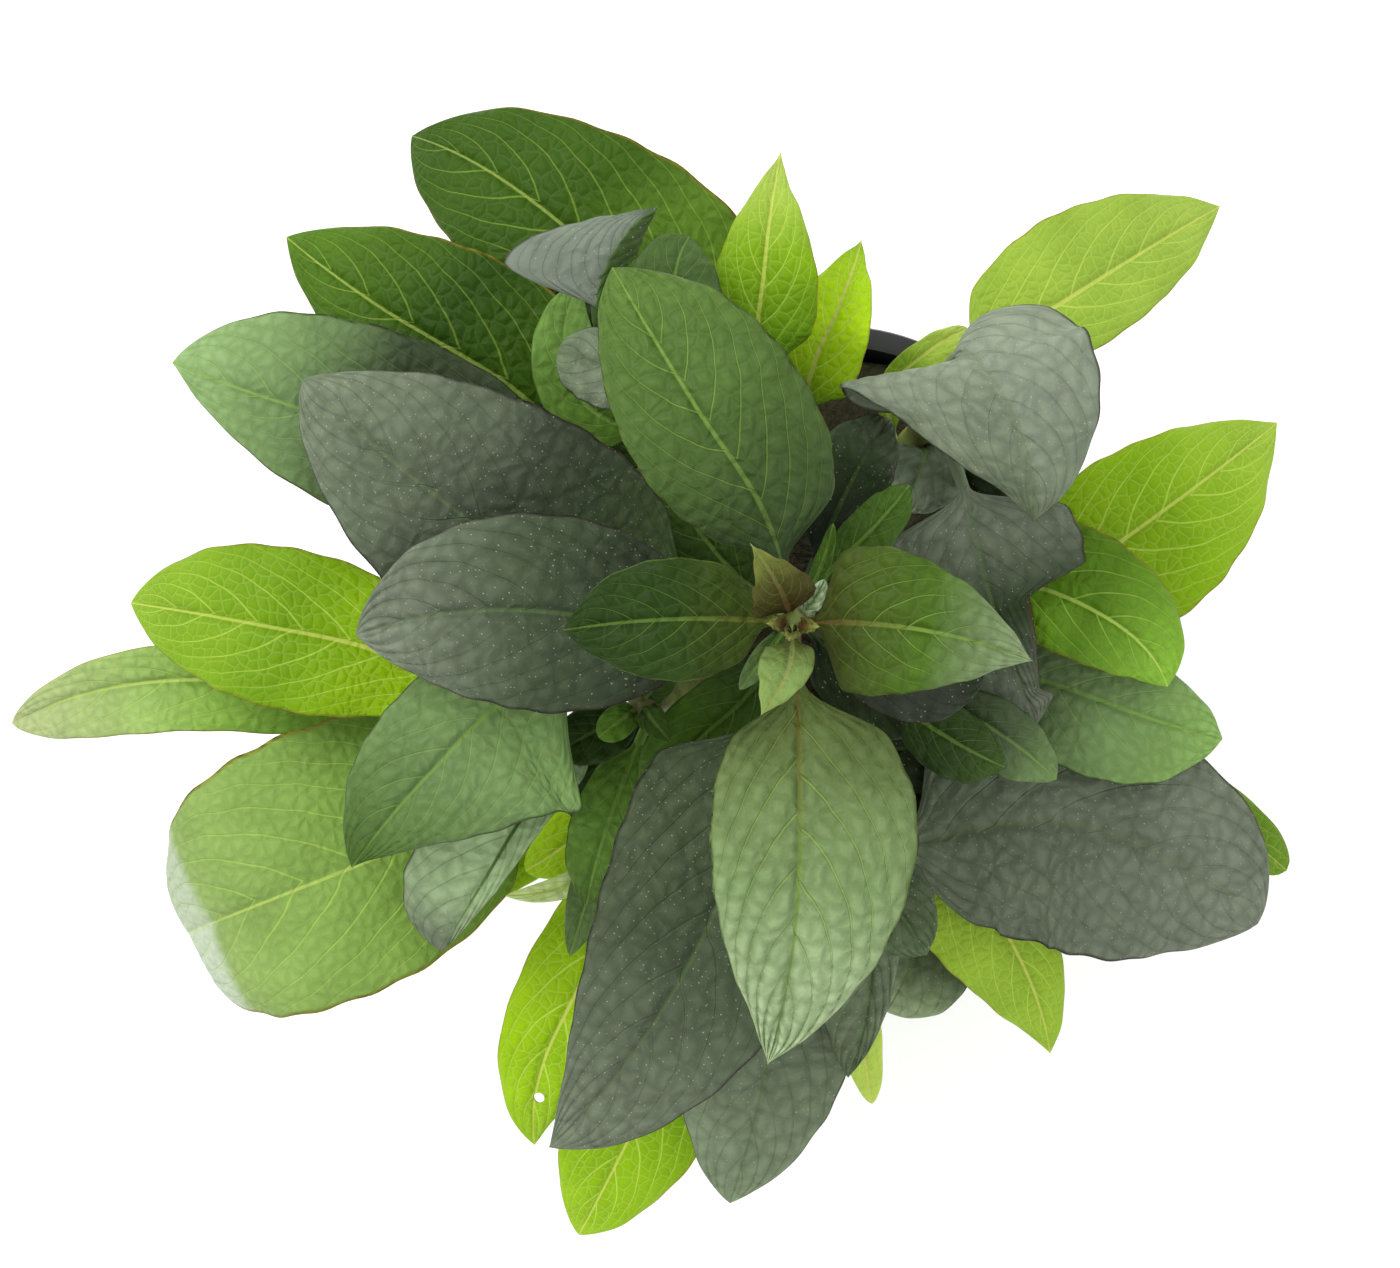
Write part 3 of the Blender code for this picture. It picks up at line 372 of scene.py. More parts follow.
             tone=(0.1, 0.15, 0.2), veins=5, quilt=0.1),
        Leaf("south_west_16_tip", "leaf_deep", at=83.2, stalk=0.5, wide=(1.5, 1.5), belly=(0.45, 0.45),
             via=[(-20.4, -17.6, 86), (-18.4, -20, 86)],
             tone=(0.15, 0.2, 0.25), veins=5, quilt=0.1),
    ]),
    Shoot("south", (-3, -18), via=[(-3.5, -20.5, 60), (-4, -23.5, 70), (-4.5, -25.5, 84)], leaves=[
        Leaf("south_1", "leaf_slate", at=82, stalk=5, wide=(4.5, 6), belly=(0.45, 0.45), sharp=1.5,
             via=[(1.5, -32.5, 86), (8.5, -42.5, 80)],
             tone=(0.08, 0.08, 0.24), bloom_and_shine=(0.05, 0.05, 0.05), veins=7, quilt=0.25),
        Leaf("south_2", "leaf_slate", at=76, stalk=9, wide=(3, 5.5), belly=(0.3, 0.45),
             via=[(2.5, -37, 80.5), (2.5, -46.5, 80), (0.5, -56, 75)],
             tone=(0.16, 0.16, 0.16), bloom_and_shine=(0.15, 0.15, 0.08), veins=7, quilt=0.25),
        Leaf("south_3", "leaf_slate", at=70, stalk=9, wide=(8.8, 9.2), belly=(0.42, 0.5), sharp=1.5,
             via=[(-5, -37.5, 74), (-8, -54.5, 73), (-12, -71, 64)],
             tone=(0.12, 0.12, 0.23), bloom_and_shine=(0.15, 0.15, 0.22), veins=8, quilt=0.25),
        Leaf("south_4_round", "leaf_slate", at=63, stalk=12, wide=(13, 14), belly=(0.45, 0.45), sharp=1.15,
             via=[(8, -31.5, 62), (16, -30, 63.5), (24, -29.5, 63.2), (34, -32.5, 60.5), (47.5, -41.5, 51)],
             fold=(0, 8),
             tone=(0.09, 0.04, 0), bloom_and_shine=(0.15, 0.15, 0.22), veins=8, quilt=0.3),
        Leaf("south_5_low", "leaf_bright", at=58, stalk=18, wide=(8.3, 8.5), belly=(0.45, 0.45), sharp=1.35,
             via=[(-16.5, -50.5, 61), (-23, -64.5, 58), (-29, -77, 48)],
             tone=(0.28, 0.28, 0.6), veins=8, quilt=0.12),
        Leaf("south_6_low", "leaf_bright", at=60, stalk=12, wide=(2.5, 2.5), belly=(0.55, 0.55), sharp=1.3,
             via=[(1, -45, 61), (4, -61.5, 53)],
             tone=(0.8, 0.8, 0.8), bloom_and_shine=(0.35, 0.35, 0.35), quilt=0.1),
        Leaf("south_7_low", "leaf_bright", at=55, stalk=12, wide=(5.3, 8.4), belly=(0.42, 0.35), sharp=1.6,
             via=[(9.5, -30.5, 58), (17, -39.5, 57.5), (24.5, -56.5, 47)],
             tone=(0.48, 0.48, 0.48), bloom_and_shine=(0.1, 0.1, 0.1), veins=8, quilt=0.12),
        Leaf("south_8_curled", "leaf_slate", at=52.5, stalk=11, wide=(7, 3), belly=(0.55, 0.45), sharp=1.2,
             via=[(10, -42.5, 51), (8, -47.5, 50), (6, -52, 44)],
             tone=(0, 0, 0.54), bloom_and_shine=(0, 0, 0.27), rust=(0, 0, 0.4), quilt=0.15),
        # Its very dark tone is partly the leaf's own colour and partly painted shade of the plant's inside.
        Leaf("south_9_inner", "leaf_slate", at=57, stalk=3, wide=(4.6, 5), sharp=1.3,
             via=[(1.5, -21.5, 59.5), (8, -21.5, 60.5), (15, -21, 57.5)],
             tone=(0.05, 0.06, 0.08)),
        # Its very dark tone is partly the leaf's own colour and partly painted shade of the plant's inside.
        Leaf("south_10_inner", "leaf_slate", at=56, stalk=3, wide=(4.8, 4.8), sharp=1.2,
             via=[(2.5, -21.5, 58), (8.5, -25, 58.8), (15, -28.5, 57)],
             tone=(0.05, 0.06, 0.08)),
    ]),
]


def add(tree, kind, links=None, **settings):
    """Adds a shader node and returns its outputs.

    settings are the node's own properties; links gives each input a value or another node's output.
    """
    made = tree.nodes.new("ShaderNode" + kind)
    for name, value in settings.items():
        setattr(made, name, value)
    for socket, value in (links or {}).items():
        if isinstance(value, bpy.types.NodeSocket):
            tree.links.new(value, made.inputs[socket])
        else:
            made.inputs[socket].default_value = value
    return made.outputs


def new_material(name):
    """A material without nodes, and its node tree."""
    material = bpy.data.materials.new(name)
    material.use_nodes = True
    material.node_tree.nodes.clear()
    return material, material.node_tree


@dataclass
class LeafLook:
    """What one kind of leaf tissue looks like: its colours, how strong its veins and net show, its gloss."""

    material: str
    dark: str
    light: str
    grey: str
    vein: str
    midrib: str
    under: str
    rim: str
    side_veins: float
    net: float
    # How dark shade is painted into the net's creases.
    crease_shade: float
    cell: float
    roughness: float
    bump: float
    glow: float
    specks: float = 0.0


# dark, light and grey of every kind were found by a search against the photograph, not chosen by hand.
LEAF_LOOKS = {
    # Youngest pair: thin, olive to brown, hardly any net.
    "leaf_olive": LeafLook(
        "unfolding_olive_leaf", dark="#1b1a08", light="#768035", grey="#8cc97e", vein="#8fa05a",
        midrib="#7f8a4c", under="#6c7a44", rim="#5c4a2c", side_veins=0.5, net=0.05, crease_shade=0.05, cell=1.2,
        roughness=0.5, bump=0.3, glow=0.15,
    ),
    # Top pairs: mid-green satin, quilted between sunken veins.
    "leaf_crown": LeafLook(
        "satin_crown_leaf", dark="#112507", light="#50721d", grey="#acc194", vein="#86a648",
        midrib="#6c8a3a", under="#6d8750", rim="#56682c", side_veins=0.5, net=0.08, crease_shade=0.24, cell=2,
        roughness=0.48, bump=0.68, glow=0.1,
    ),
    # Old slate-green leaves: wrinkled, with fine white specks.
    "leaf_slate": LeafLook(
        "wrinkled_slate_leaf", dark="#090d09", light="#73984c", grey="#cbdabb", vein="#56703c",
        midrib="#4f6a34", under="#5f6c56", rim="#332a28", side_veins=0.2, net=0.03, crease_shade=0.2, cell=2.3,
        roughness=0.55, bump=0.6, glow=0.04, specks=0.5,
    ),
    # Shaded inner leaves: deep green.
    "leaf_deep": LeafLook(
        "shaded_deep_leaf", dark="#0c1809", light="#6c9b2a", grey="#9eab92", vein="#7a9c50",
        midrib="#6f8f40", under="#5c7848", rim="#3c4a24", side_veins=0.6, net=0.12, crease_shade=0.2, cell=1.7,
        roughness=0.48, bump=0.52, glow=0.08,
    ),
    # Full-grown lower leaves: fresh green, yellowish veins and net.
    "leaf_fresh": LeafLook(
        "full_grown_fresh_leaf", dark="#112907", light="#9ada27", grey="#ccda9a", vein="#a0be50",
        midrib="#b4c860", under="#76945a", rim="#8c7a22", side_veins=0.8, net=0.12, crease_shade=0.14, cell=1.6,
        roughness=0.48, bump=0.5, glow=0.12,
    ),
    # New leaves: yellow-green, thin, with a clear yellow net.
    "leaf_bright": LeafLook(
        "thin_bright_leaf", dark="#326007", light="#b0da0e", grey="#c4bf89", vein="#bcd45c",
        midrib="#c2c862", under="#94b048", rim="#a09a2c", side_veins=0.75, net=0.3, crease_shade=0.08, cell=1.3,
        roughness=0.45, bump=0.3, glow=0.2,
    ),
}
# The neutral grey painted on as the reflection of the lamps where a blade bends towards them.
PAINTED_SHEEN_GREY = "#c4cac6"
RUST = "#57291a"
LIME = "#a9ada2"
SMOOTH = {"interpolation_type": "SMOOTHSTEP"}


def leaf_material(look):
    """Living leaf tissue under a thin wax: a satin skin, veins from the vein phase, a net between them."""
    material, tree = new_material(look.material)
    maps = {name: add(tree, "UVMap", uv_map=name)["UV"] for name in ("vein", "blade", "tint", "mark", "part")}
    pairs = [add(tree, "SeparateXYZ", {0: coordinates})[:2] for coordinates in maps.values()]
    (phase, across), (beside, _), (tone, bloom_and_shine), (rust, lower), (share, painted_sheen) = pairs
    place = maps["blade"]

    broad = add(tree, "TexNoise", {"Vector": place, "Scale": 0.14, "Detail": 3.0})[0]
    fine = add(tree, "TexNoise", {"Vector": place, "Scale": 2.6, "Detail": 4.0})[0]
    wander = add(tree, "TexNoise", {"Vector": place, "Scale": 0.3, "Detail": 2.0})

    # Side veins: lines about a third of a millimetre wide at whole phases, wandering and fading outwards.
    bent = add(tree, "Math", {0: wander[0], 1: 0.16, 2: phase}, operation="MULTIPLY_ADD")[0]
    away = add(tree, "Math", {0: bent, 1: 0.5}, operation="PINGPONG")[0]
    margin = add(tree, "Math", {0: across}, operation="ABSOLUTE")[0]
    outer = add(tree, "MapRange", {0: margin, 1: 0.55, 2: 1.0, 3: 1.0, 4: 0.45})[0]
    side = add(tree, "MapRange", {0: away, 1: 0.012, 2: 0.055, 3: 1.0, 4: 0.0}, **SMOOTH)[0]
    side = add(tree, "Math", {0: side, 1: outer}, operation="MULTIPLY")[0]
    side_amount = add(tree, "Math", {0: side, 1: look.side_veins}, operation="MULTIPLY")[0]

    # Midrib: just over half a millimetre wide at the base, tapering to a sixth at the tip.
    offset = add(tree, "Math", {0: beside, 1: MIDRIB_AT}, operation="SUBTRACT")[0]
    offset = add(tree, "Math", {0: offset}, operation="ABSOLUTE")[0]
    taper = add(tree, "MapRange", {0: share, 1: 0.0, 2: 1.0, 3: 0.32, 4: 0.09})[0]
    offset = add(tree, "Math", {0: offset, 1: taper}, operation="DIVIDE")[0]
    midrib = add(tree, "MapRange", {0: offset, 1: 0.55, 2: 1.25, 3: 1.0, 4: 0.0}, **SMOOTH)[0]

    # Net: the edges of cells one or two millimetres across, equal both ways on the blade, warped as if grown.
    laid = add(tree, "VectorMath", {0: place, "Scale": 1.0 / look.cell}, operation="SCALE")[0]
    warp = add(tree, "VectorMath", {0: wander[1], 1: laid}, operation="ADD")[0]
    cells = add(
        tree, "TexVoronoi", {"Vector": warp, "Scale": 1.0, "Randomness": 0.85},
        feature="DISTANCE_TO_EDGE", voronoi_dimensions="2D",
    )[0]
    net = add(tree, "MapRange", {0: cells, 1: 0.02, 2: 0.1, 3: 1.0, 4: 0.0}, **SMOOTH)[0]
    net = add(tree, "Math", {0: net, 1: outer}, operation="MULTIPLY")[0]
    net_amount = add(tree, "Math", {0: net, 1: look.net}, operation="MULTIPLY")[0]
    veins = add(tree, "Math", {0: side_amount, 1: net_amount}, operation="MAXIMUM")[0]

    # Mottle: broad and fine patches of light and dark, less painted shade in the net's creases beside the
    # veins, which also paints the cells between a little lighter.
    half = 0.5 * MOTTLE
    mottled = add(tree, "MapRange", {0: broad, 1: 0.3, 2: 0.7, 3: -half, 4: half})[0]
    uneven = add(tree, "MapRange", {0: fine, 1: 0.3, 2: 0.7, 3: -0.05, 4: 0.05})[0]
    mottled = add(tree, "Math", {0: mottled, 1: uneven}, operation="ADD")[0]
    painted_crease_shade = add(tree, "MapRange", {0: cells, 1: 0.0, 2: 0.3, 3: look.crease_shade, 4: -0.35 * look.crease_shade})[0]
    mottled = add(tree, "Math", {0: mottled, 1: painted_crease_shade}, operation="SUBTRACT")[0]

    # Colours laid over the dark tissue one by one, each with how much of it shows.
    lighter, grey_and_shine_amount = [
        add(tree, "Math", {0: mottled, 1: amount, 2: amount}, operation="MULTIPLY_ADD", use_clamp=True)[0]
        for amount in (tone, bloom_and_shine)
    ]
    lit = add(tree, "MapRange", {0: tone, 1: 0.0, 2: 0.7, 3: 0.25, 4: 1.0})[0]
    veins, rib = [add(tree, "Math", {0: line, 1: lit}, operation="MULTIPLY")[0] for line in (veins, midrib)]
    rusty = add(tree, "Math", {0: midrib, 1: 0.75, 2: 0.25}, operation="MULTIPLY_ADD")[0]
    rusty = add(tree, "Math", {0: rusty, 1: rust}, operation="MULTIPLY", use_clamp=True)[0]
    edge = add(tree, "MapRange", {0: margin, 1: 0.965, 2: 0.995, 3: 0.0, 4: 0.7}, **SMOOTH)[0]
    # The grey layer is partly bloom and partly painted reflection; the neutral grey after it is painted
    # reflection.
    layers = [
        (lighter, look.light), (grey_and_shine_amount, look.grey), (painted_sheen, PAINTED_SHEEN_GREY), (veins, look.vein),
        (rib, look.midrib), (rusty, RUST), (edge, look.rim),
    ]
    if look.specks:
        # Lime specks a twentieth of a millimetre across, drawn three times as large so that they show.
        dots = add(tree, "TexVoronoi", {"Vector": place, "Scale": 1.7}, voronoi_dimensions="2D")
        chance = add(tree, "SeparateColor", {0: dots["Color"]})[0]
        size = add(tree, "MapRange", {0: chance, 1: 0.62, 2: 1.0, 3: 0.0, 4: 0.12})[0]
        speck = add(tree, "Math", {0: dots["Distance"], 1: size}, operation="LESS_THAN")[0]
        speck = add(tree, "Math", {0: speck, 1: look.specks}, operation="MULTIPLY")[0]
        layers.append((speck, LIME))
    layers.append((lower, look.under))
    colour = linear_colour(look.dark)
    for amount, over in layers:
        colour = add(tree, "Mix", {0: amount, 6: colour, 7: linear_colour(over)}, data_type="RGBA")[2]

    satin = look.roughness
    gloss = add(tree, "MapRange", {0: fine, 1: 0.3, 2: 0.7, 3: satin - 0.06, 4: satin + 0.1})[0]
    # Bump: cells bulge a third of a millimetre between sunken veins, with a fine grain on top.
    cushion = add(tree, "MapRange", {0: cells, 1: 0.0, 2: 0.45, 3: 0.0, 4: 1.0}, **SMOOTH)[0]
    cushion = add(tree, "Math", {0: fine, 1: 0.35, 2: cushion}, operation="MULTIPLY_ADD")[0]
    height = add(tree, "Math", {0: side, 1: -0.7, 2: cushion}, operation="MULTIPLY_ADD")[0]
    bump = add(tree, "Bump", {"Height": height, "Strength": look.bump, "Distance": 0.35 * MM})[0]
    skin = add(
        tree, "BsdfPrincipled",
        {"Base Color": colour, "Roughness": gloss, "IOR": 1.42, "Specular IOR Level": 0.12, "Normal": bump},
    )[0]
    glow = add(tree, "BsdfTranslucent", {"Color": colour, "Normal": bump})[0]
    surface = add(tree, "MixShader", {0: look.glow, 1: skin, 2: glow})[0]
    add(tree, "OutputMaterial", {"Surface": surface})
    return material


def stem_material():
    """Green herbaceous stem: ribbed lengthwise every half millimetre, browner in blotches, satin."""
    material, tree = new_material("green_stem")
    place = add(tree, "TexCoord")["Object"]
    blotch = add(tree, "TexNoise", {"Vector": place, "Scale": 160.0, "Detail": 4.0})[0]
    stretched = add(tree, "Mapping", {"Vector": place, "Scale": (1.0, 1.0, 0.06)})[0]
    ribs = add(tree, "TexNoise", {"Vector": stretched, "Scale": 2500.0, "Detail": 2.0})[0]
    level = add(tree, "MapRange", {0: blotch, 1: 0.35, 2: 0.7})[0]
    ends = {6: linear_colour("#5c6a2c"), 7: linear_colour("#473823")}
    colour = add(tree, "Mix", {0: level, **ends}, data_type="RGBA")[2]
    bump = add(tree, "Bump", {"Height": ribs, "Strength": 0.5, "Distance": 0.1 * MM})[0]
    skin = add(
        tree, "BsdfPrincipled", {"Base Color": colour, "Roughness": 0.5, "IOR": 1.42, "Normal": bump}
    )[0]
    add(tree, "OutputMaterial", {"Surface": skin})
    return material


def pot_material():
    """Injection-moulded black polypropylene: a fine spark-eroded grain, satin, a little dust grey."""
    material, tree = new_material("moulded_black_polypropylene")
    place = add(tree, "TexCoord")["Object"]
    grain = add(tree, "TexNoise", {"Vector": place, "Scale": 3500.0, "Detail": 2.0})[0]
    dust = add(tree, "TexNoise", {"Vector": place, "Scale": 120.0, "Detail": 5.0})[0]
    level = add(tree, "MapRange", {0: dust, 1: 0.45, 2: 0.8, 3: 0.0, 4: 0.5})[0]
    ends = {6: linear_colour("#161719"), 7: linear_colour("#2c2c2a")}
    colour = add(tree, "Mix", {0: level, **ends}, data_type="RGBA")[2]
    gloss = add(tree, "MapRange", {0: dust, 1: 0.3, 2: 0.7, 3: 0.34, 4: 0.5})[0]
    bump = add(tree, "Bump", {"Height": grain, "Strength": 0.25, "Distance": 0.05 * MM})[0]
    skin = add(
        tree, "BsdfPrincipled", {"Base Color": colour, "Roughness": gloss, "IOR": 1.49, "Normal": bump}
    )[0]
    add(tree, "OutputMaterial", {"Surface": skin})
    return material


def wool_material():
    """Mineral wool: matted fibres, moist and brown-grey, matt."""
    material, tree = new_material("matted_mineral_wool")
    place = add(tree, "TexCoord")["Object"]
    stretched = add(tree, "Mapping", {"Vector": place, "Scale": (1.0, 1.0, 4.0)})[0]
    fibres = add(tree, "TexNoise", {"Vector": stretched, "Scale": 600.0, "Detail": 6.0, "Distortion": 2.5})[0]
    damp = add(tree, "TexNoise", {"Vector": place, "Scale": 70.0, "Detail": 3.0})[0]
    mixed = add(tree, "Math", {0: fibres, 1: damp}, operation="MULTIPLY")[0]
    level = add(tree, "MapRange", {0: mixed, 1: 0.12, 2: 0.42})[0]
    ends = {6: linear_colour("#1c1b12"), 7: linear_colour("#564f38")}
    colour = add(tree, "Mix", {0: level, **ends}, data_type="RGBA")[2]
    bump = add(tree, "Bump", {"Height": fibres, "Strength": 1.0, "Distance": 0.6 * MM})[0]
    skin = add(tree, "BsdfPrincipled", {"Base Color": colour, "Roughness": 0.95, "Normal": bump})[0]
    add(tree, "OutputMaterial", {"Surface": skin})
    return material


def linear_colour(code):
    """An sRGB hex code as linear red, green, blue and alpha."""
    values = np.array([int(code[i : i + 2], 16) for i in (1, 3, 5)]) / 255
    return (*np.where(values <= 0.04045, values / 12.92, ((values + 0.055) / 1.055) ** 2.4), 1.0)


def smoothstep(x):
    """From 0 to 1 as x does, level at both ends: 3 x^2 - 2 x^3."""
    x = np.clip(x, 0, 1)
    return x * x * (3 - 2 * x)


def smooth_path(points, per_span=24):
    """Dense points on a cubic through all the given ones, whose slopes come from their neighbours."""
    points = np.array(points, float)
    knots = lengths_along(points)
    slopes = np.gradient(points, knots, axis=0, edge_order=min(2, len(points) - 1))
    at = np.unique(np.concatenate([np.linspace(a, b, per_span) for a, b in zip(knots, knots[1:])]))
    span = np.clip(np.searchsorted(knots, at, side="right") - 1, 0, len(knots) - 2)
    width = np.diff(knots)[span][:, None]
    s = (at - knots[span])[:, None] / width
    return (
        (2 * s**3 - 3 * s**2 + 1) * points[span]
        + (s**3 - 2 * s**2 + s) * width * slopes[span]
        + (3 * s**2 - 2 * s**3) * points[span + 1]
        + (s**3 - s**2) * width * slopes[span + 1]
    )


def lengths_along(path):
    """The distance from a path's start to each of its points, summed over the straight steps between."""
    return np.concatenate([[0.0], np.cumsum(np.linalg.norm(np.diff(path, axis=0), axis=1))])


def read_path(path, distances):
    """The points and unit directions at these distances along a path."""
    reach = lengths_along(path)
    slope = np.gradient(path, reach, axis=0)
    points, directions = [
        np.stack([np.interp(distances, reach, values[:, i]) for i in range(3)], axis=1)
        for values in (path, slope)
    ]
    return points, directions / np.linalg.norm(directions, axis=1, keepdims=True)


def outline(t, belly, sharp):
    """A blade's half width, 0 at base and tip and 1 at the belly: t^a (1 - t)^b, with a : b as the belly."""
    t = np.clip(t, 0, 1)
    return (t / belly) ** (sharp * belly) * ((1 - t) / (1 - belly)) ** (sharp * (1 - belly))


def bitten(leaf, side, t):
    """How much of one margin is bitten away: a plateau of the bite's depth with steep ends."""
    if not leaf.bite or (leaf.bite[0] == "left") != (side == 0):
        return 0 * t
    _, place, span, depth = leaf.bite
    return depth * smoothstep((span - np.abs(t - place)) / (BITE_EDGE * span))


def mesh_object(name, points, faces, coordinates=None):
    """A smooth mesh piece from points in millimetres; coordinates are named UV maps, a pair to a point."""
    mesh = bpy.data.meshes.new(name)
    mesh.from_pydata((points * MM).tolist(), [], faces)
    corners = np.empty(len(mesh.loops), np.int32)
    mesh.loops.foreach_get("vertex_index", corners)
    for map_name, pairs in (coordinates or {}).items():
        layer = mesh.uv_layers.new(name=map_name)
        layer.data.foreach_set("uv", pairs[corners].astype(np.float32).ravel())
    mesh.shade_smooth()
    made = bpy.data.objects.new(name, mesh)
    bpy.context.scene.collection.objects.link(made)
    return made


def ring_faces(rows, ring, capped=True):
    """Quads over a tube of `rows` rings of `ring` points, with a face over each end."""
    i, j = np.meshgrid(np.arange(rows - 1), np.arange(ring), indexing="ij")
    after = (j + 1) % ring
    quads = np.stack([i * ring + j, i * ring + after, (i + 1) * ring + after, (i + 1) * ring + j], axis=-1)
    faces = quads.reshape(-1, 4).tolist()
    if capped:
        faces.append(list(range(ring))[::-1])
        faces.append(list(range((rows - 1) * ring, rows * ring)))
    return faces


def blade_grid(leaf, base, rows, columns):
    """The leaf's ring points and its UV maps.

    Each half width follows the outline, with shallow scallops where the side veins end.

    Across, each half is an arc: it leaves the midrib at the fold angle and turns by the curl angle to the
    margin. Along, the rings follow the midrib path. Bulges of height quilt rise between the side veins,
    which are the lines where the phase, veins * t less a curve in v, is whole. The underside is the same
    sheet set down by the lamina, with a round rib under the midrib, and over the first part of the blade
    both melt into the stalk's circle.
    """
    path = smooth_path([base, *leaf.via])
    length = lengths_along(path)[-1]
    blade = length - leaf.stalk
    # The rows lie closer together at the blade's base and tip.
    even = np.linspace(0, 1, rows)
    closer = 0.25 * (1 - np.cos(np.pi * even)) + 0.5 * even
    t = np.concatenate([np.linspace(-1, 0, STALK_ROWS, endpoint=False), closer])
    centre, forward = read_path(path, np.where(t < 0, leaf.stalk * (1 + t), leaf.stalk + t * blade))
    flat = smoothstep(t / SHOULDER)[:, None]
    t = np.clip(t, 0, 1)
    right = np.cross(forward, (0.0, 0.0, 1.0))
    right /= np.linalg.norm(right, axis=1, keepdims=True)
    up = np.cross(right, forward)

    v = np.linspace(-1, 1, columns)[None, :]
    t = t[:, None]
    share = np.abs(v)
    sign = np.sign(v)
    is_right = v > 0

    def by_half(pair):
        return np.where(is_right, pair[1], pair[0])

    halves = []
    for side in (0, 1):
        scallop = VEIN_SCALLOP * np.sin(2 * np.pi * leaf.veins * t + side)
        scallop = scallop + BROAD_SCALLOP * np.sin(9 * t + len(leaf.name) + 2 * side)
        width = leaf.wide[side] * outline(t, leaf.belly[side], leaf.sharp) * (1 - bitten(leaf, side, t))
        width = width * (1 + scallop * smoothstep(t / 0.2))
        halves.append(np.maximum(width, TIP_WIDTH))
    width = by_half(halves)
    fold = np.radians(by_half(leaf.fold))
    # The last term keeps the arc's formula from dividing by zero on a blade that doesn't curl.
    curl = np.radians(by_half(leaf.curl)) + 1e-6
    sweep = np.radians(by_half(leaf.sweep)) * (1 - t)
    angle = fold + curl * share
    out = width * (np.sin(angle) - np.sin(fold)) / curl
    rise = width * (np.cos(fold) - np.cos(angle)) / curl

    slope = VEIN_SLANT * by_half(leaf.wide) / blade
    phase = leaf.veins * (t - slope * share - VEIN_BEND * share**2.2)
    phase = phase + RIGHT_VEINS_LATER * smoothstep(v / 0.04) * is_right
    between = np.abs(np.sin(np.pi * phase)) ** 0.8
    relief = leaf.quilt * between * smoothstep(share / 0.12) * smoothstep((1 - share) / 0.15)
    relief = relief * smoothstep((1 - t) / 0.1) * smoothstep(t / 0.1)
    relief = relief - GROOVE_DEPTH * np.exp(-((out / GROOVE_WIDTH) ** 2)) * smoothstep((1 - t) / 0.3)
    height, count = leaf.wave
    ripple = height * share**2.5 * np.sin(2 * np.pi * (count * t + 0.31 * sign + 0.17 * len(leaf.name)))
    ripple = ripple * smoothstep(t / 0.2) * smoothstep((1 - t) / 0.2)

    stalk = STALK_RADIUS + STALK_PER_LENGTH * length
    thick = 0.5 * LAMINA * (1 - share**6) ** 0.5
    rib = stalk * (1 - 0.75 * t)
    keel = rib * np.exp(-((out / (1.1 * rib)) ** 2))
    quarter = 0.5 * np.pi * v
    sheets = []
    for face in (1, -1):
        lift = relief + face * thick - (keel if face < 0 else 0)
        across = sign * (out * np.cos(sweep) - lift * np.sin(angle))
        above = rise + ripple + lift * np.cos(angle)
        across = (1 - flat) * stalk * np.sin(quarter) + flat * across
        above = (1 - flat) * stalk * face * np.cos(quarter) + flat * above
        back = flat * (out * np.sin(sweep))
        sheets.append(
            centre[:, None]
            + across[..., None] * right[:, None]
            + above[..., None] * up[:, None]
            - back[..., None] * forward[:, None]
        )
    top, under = sheets
    rings = np.concatenate([top, under[:, -2:0:-1]], axis=1)

    def around(values):
        values = np.broadcast_to(values, top.shape[:2])
        return np.concatenate([values, values[:, -2:0:-1]], axis=1)

    def along(values):
        return np.interp(t, np.linspace(0, 1, len(values)), values)

    eaten = np.maximum(by_half([bitten(leaf, side, t) for side in (0, 1)]), 0)
    rust = along(leaf.rust) + 1.2 * smoothstep(eaten / 0.2) * smoothstep((share - 0.8) / 0.2)
    lower = np.concatenate([0 * top[..., 0], 0 * under[:, -2:0:-1, 0] + 1], axis=1)
    # Painted reflection: neutral grey on each half, from a point along the blade on.
    painted_sheen = by_half(leaf.painted_sheen) * smoothstep((t - leaf.painted_sheen[2]) / 0.05)
    maps = {
        "vein": (around(phase), around(v)),
        "blade": (around(sign * out + MIDRIB_AT), around(t * blade + NEXT_PATCH * len(leaf.name))),
        # The tint map carries the tone and the grey that is partly bloom, partly painted reflection.
        "tint": (around(along(leaf.tone)), around(along(leaf.bloom_and_shine))),
        "mark": (around(rust), lower),
        "part": (around(t), around(painted_sheen)),
    }
    maps = {name: np.stack(pair, axis=-1).reshape(-1, 2) for name, pair in maps.items()}
    return rings, maps


def cut_out(body, cutters):
    """Takes the cutters' shapes out of a body's mesh for good, and removes them."""
    for cutter in cutters:
        cut = body.modifiers.new("cut", "BOOLEAN")
        cut.operation = "DIFFERENCE"
        cut.object = cutter
    bpy.context.view_layer.update()
    body_mesh = bpy.data.meshes.new_from_object(body.evaluated_get(bpy.context.evaluated_depsgraph_get()))
    body.modifiers.clear()
    body.data = body_mesh
    for cutter in cutters:
        bpy.data.objects.remove(cutter)


def stem_radius(height, heights):
    """A stem's radius at a height, narrowing evenly from its foot to its tip."""
    share = np.clip((height - heights[0]) / (heights[-1] - heights[0]), 0, 1)
    return STEM_FOOT_RADIUS + (STEM_TIP_RADIUS - STEM_FOOT_RADIUS) * share


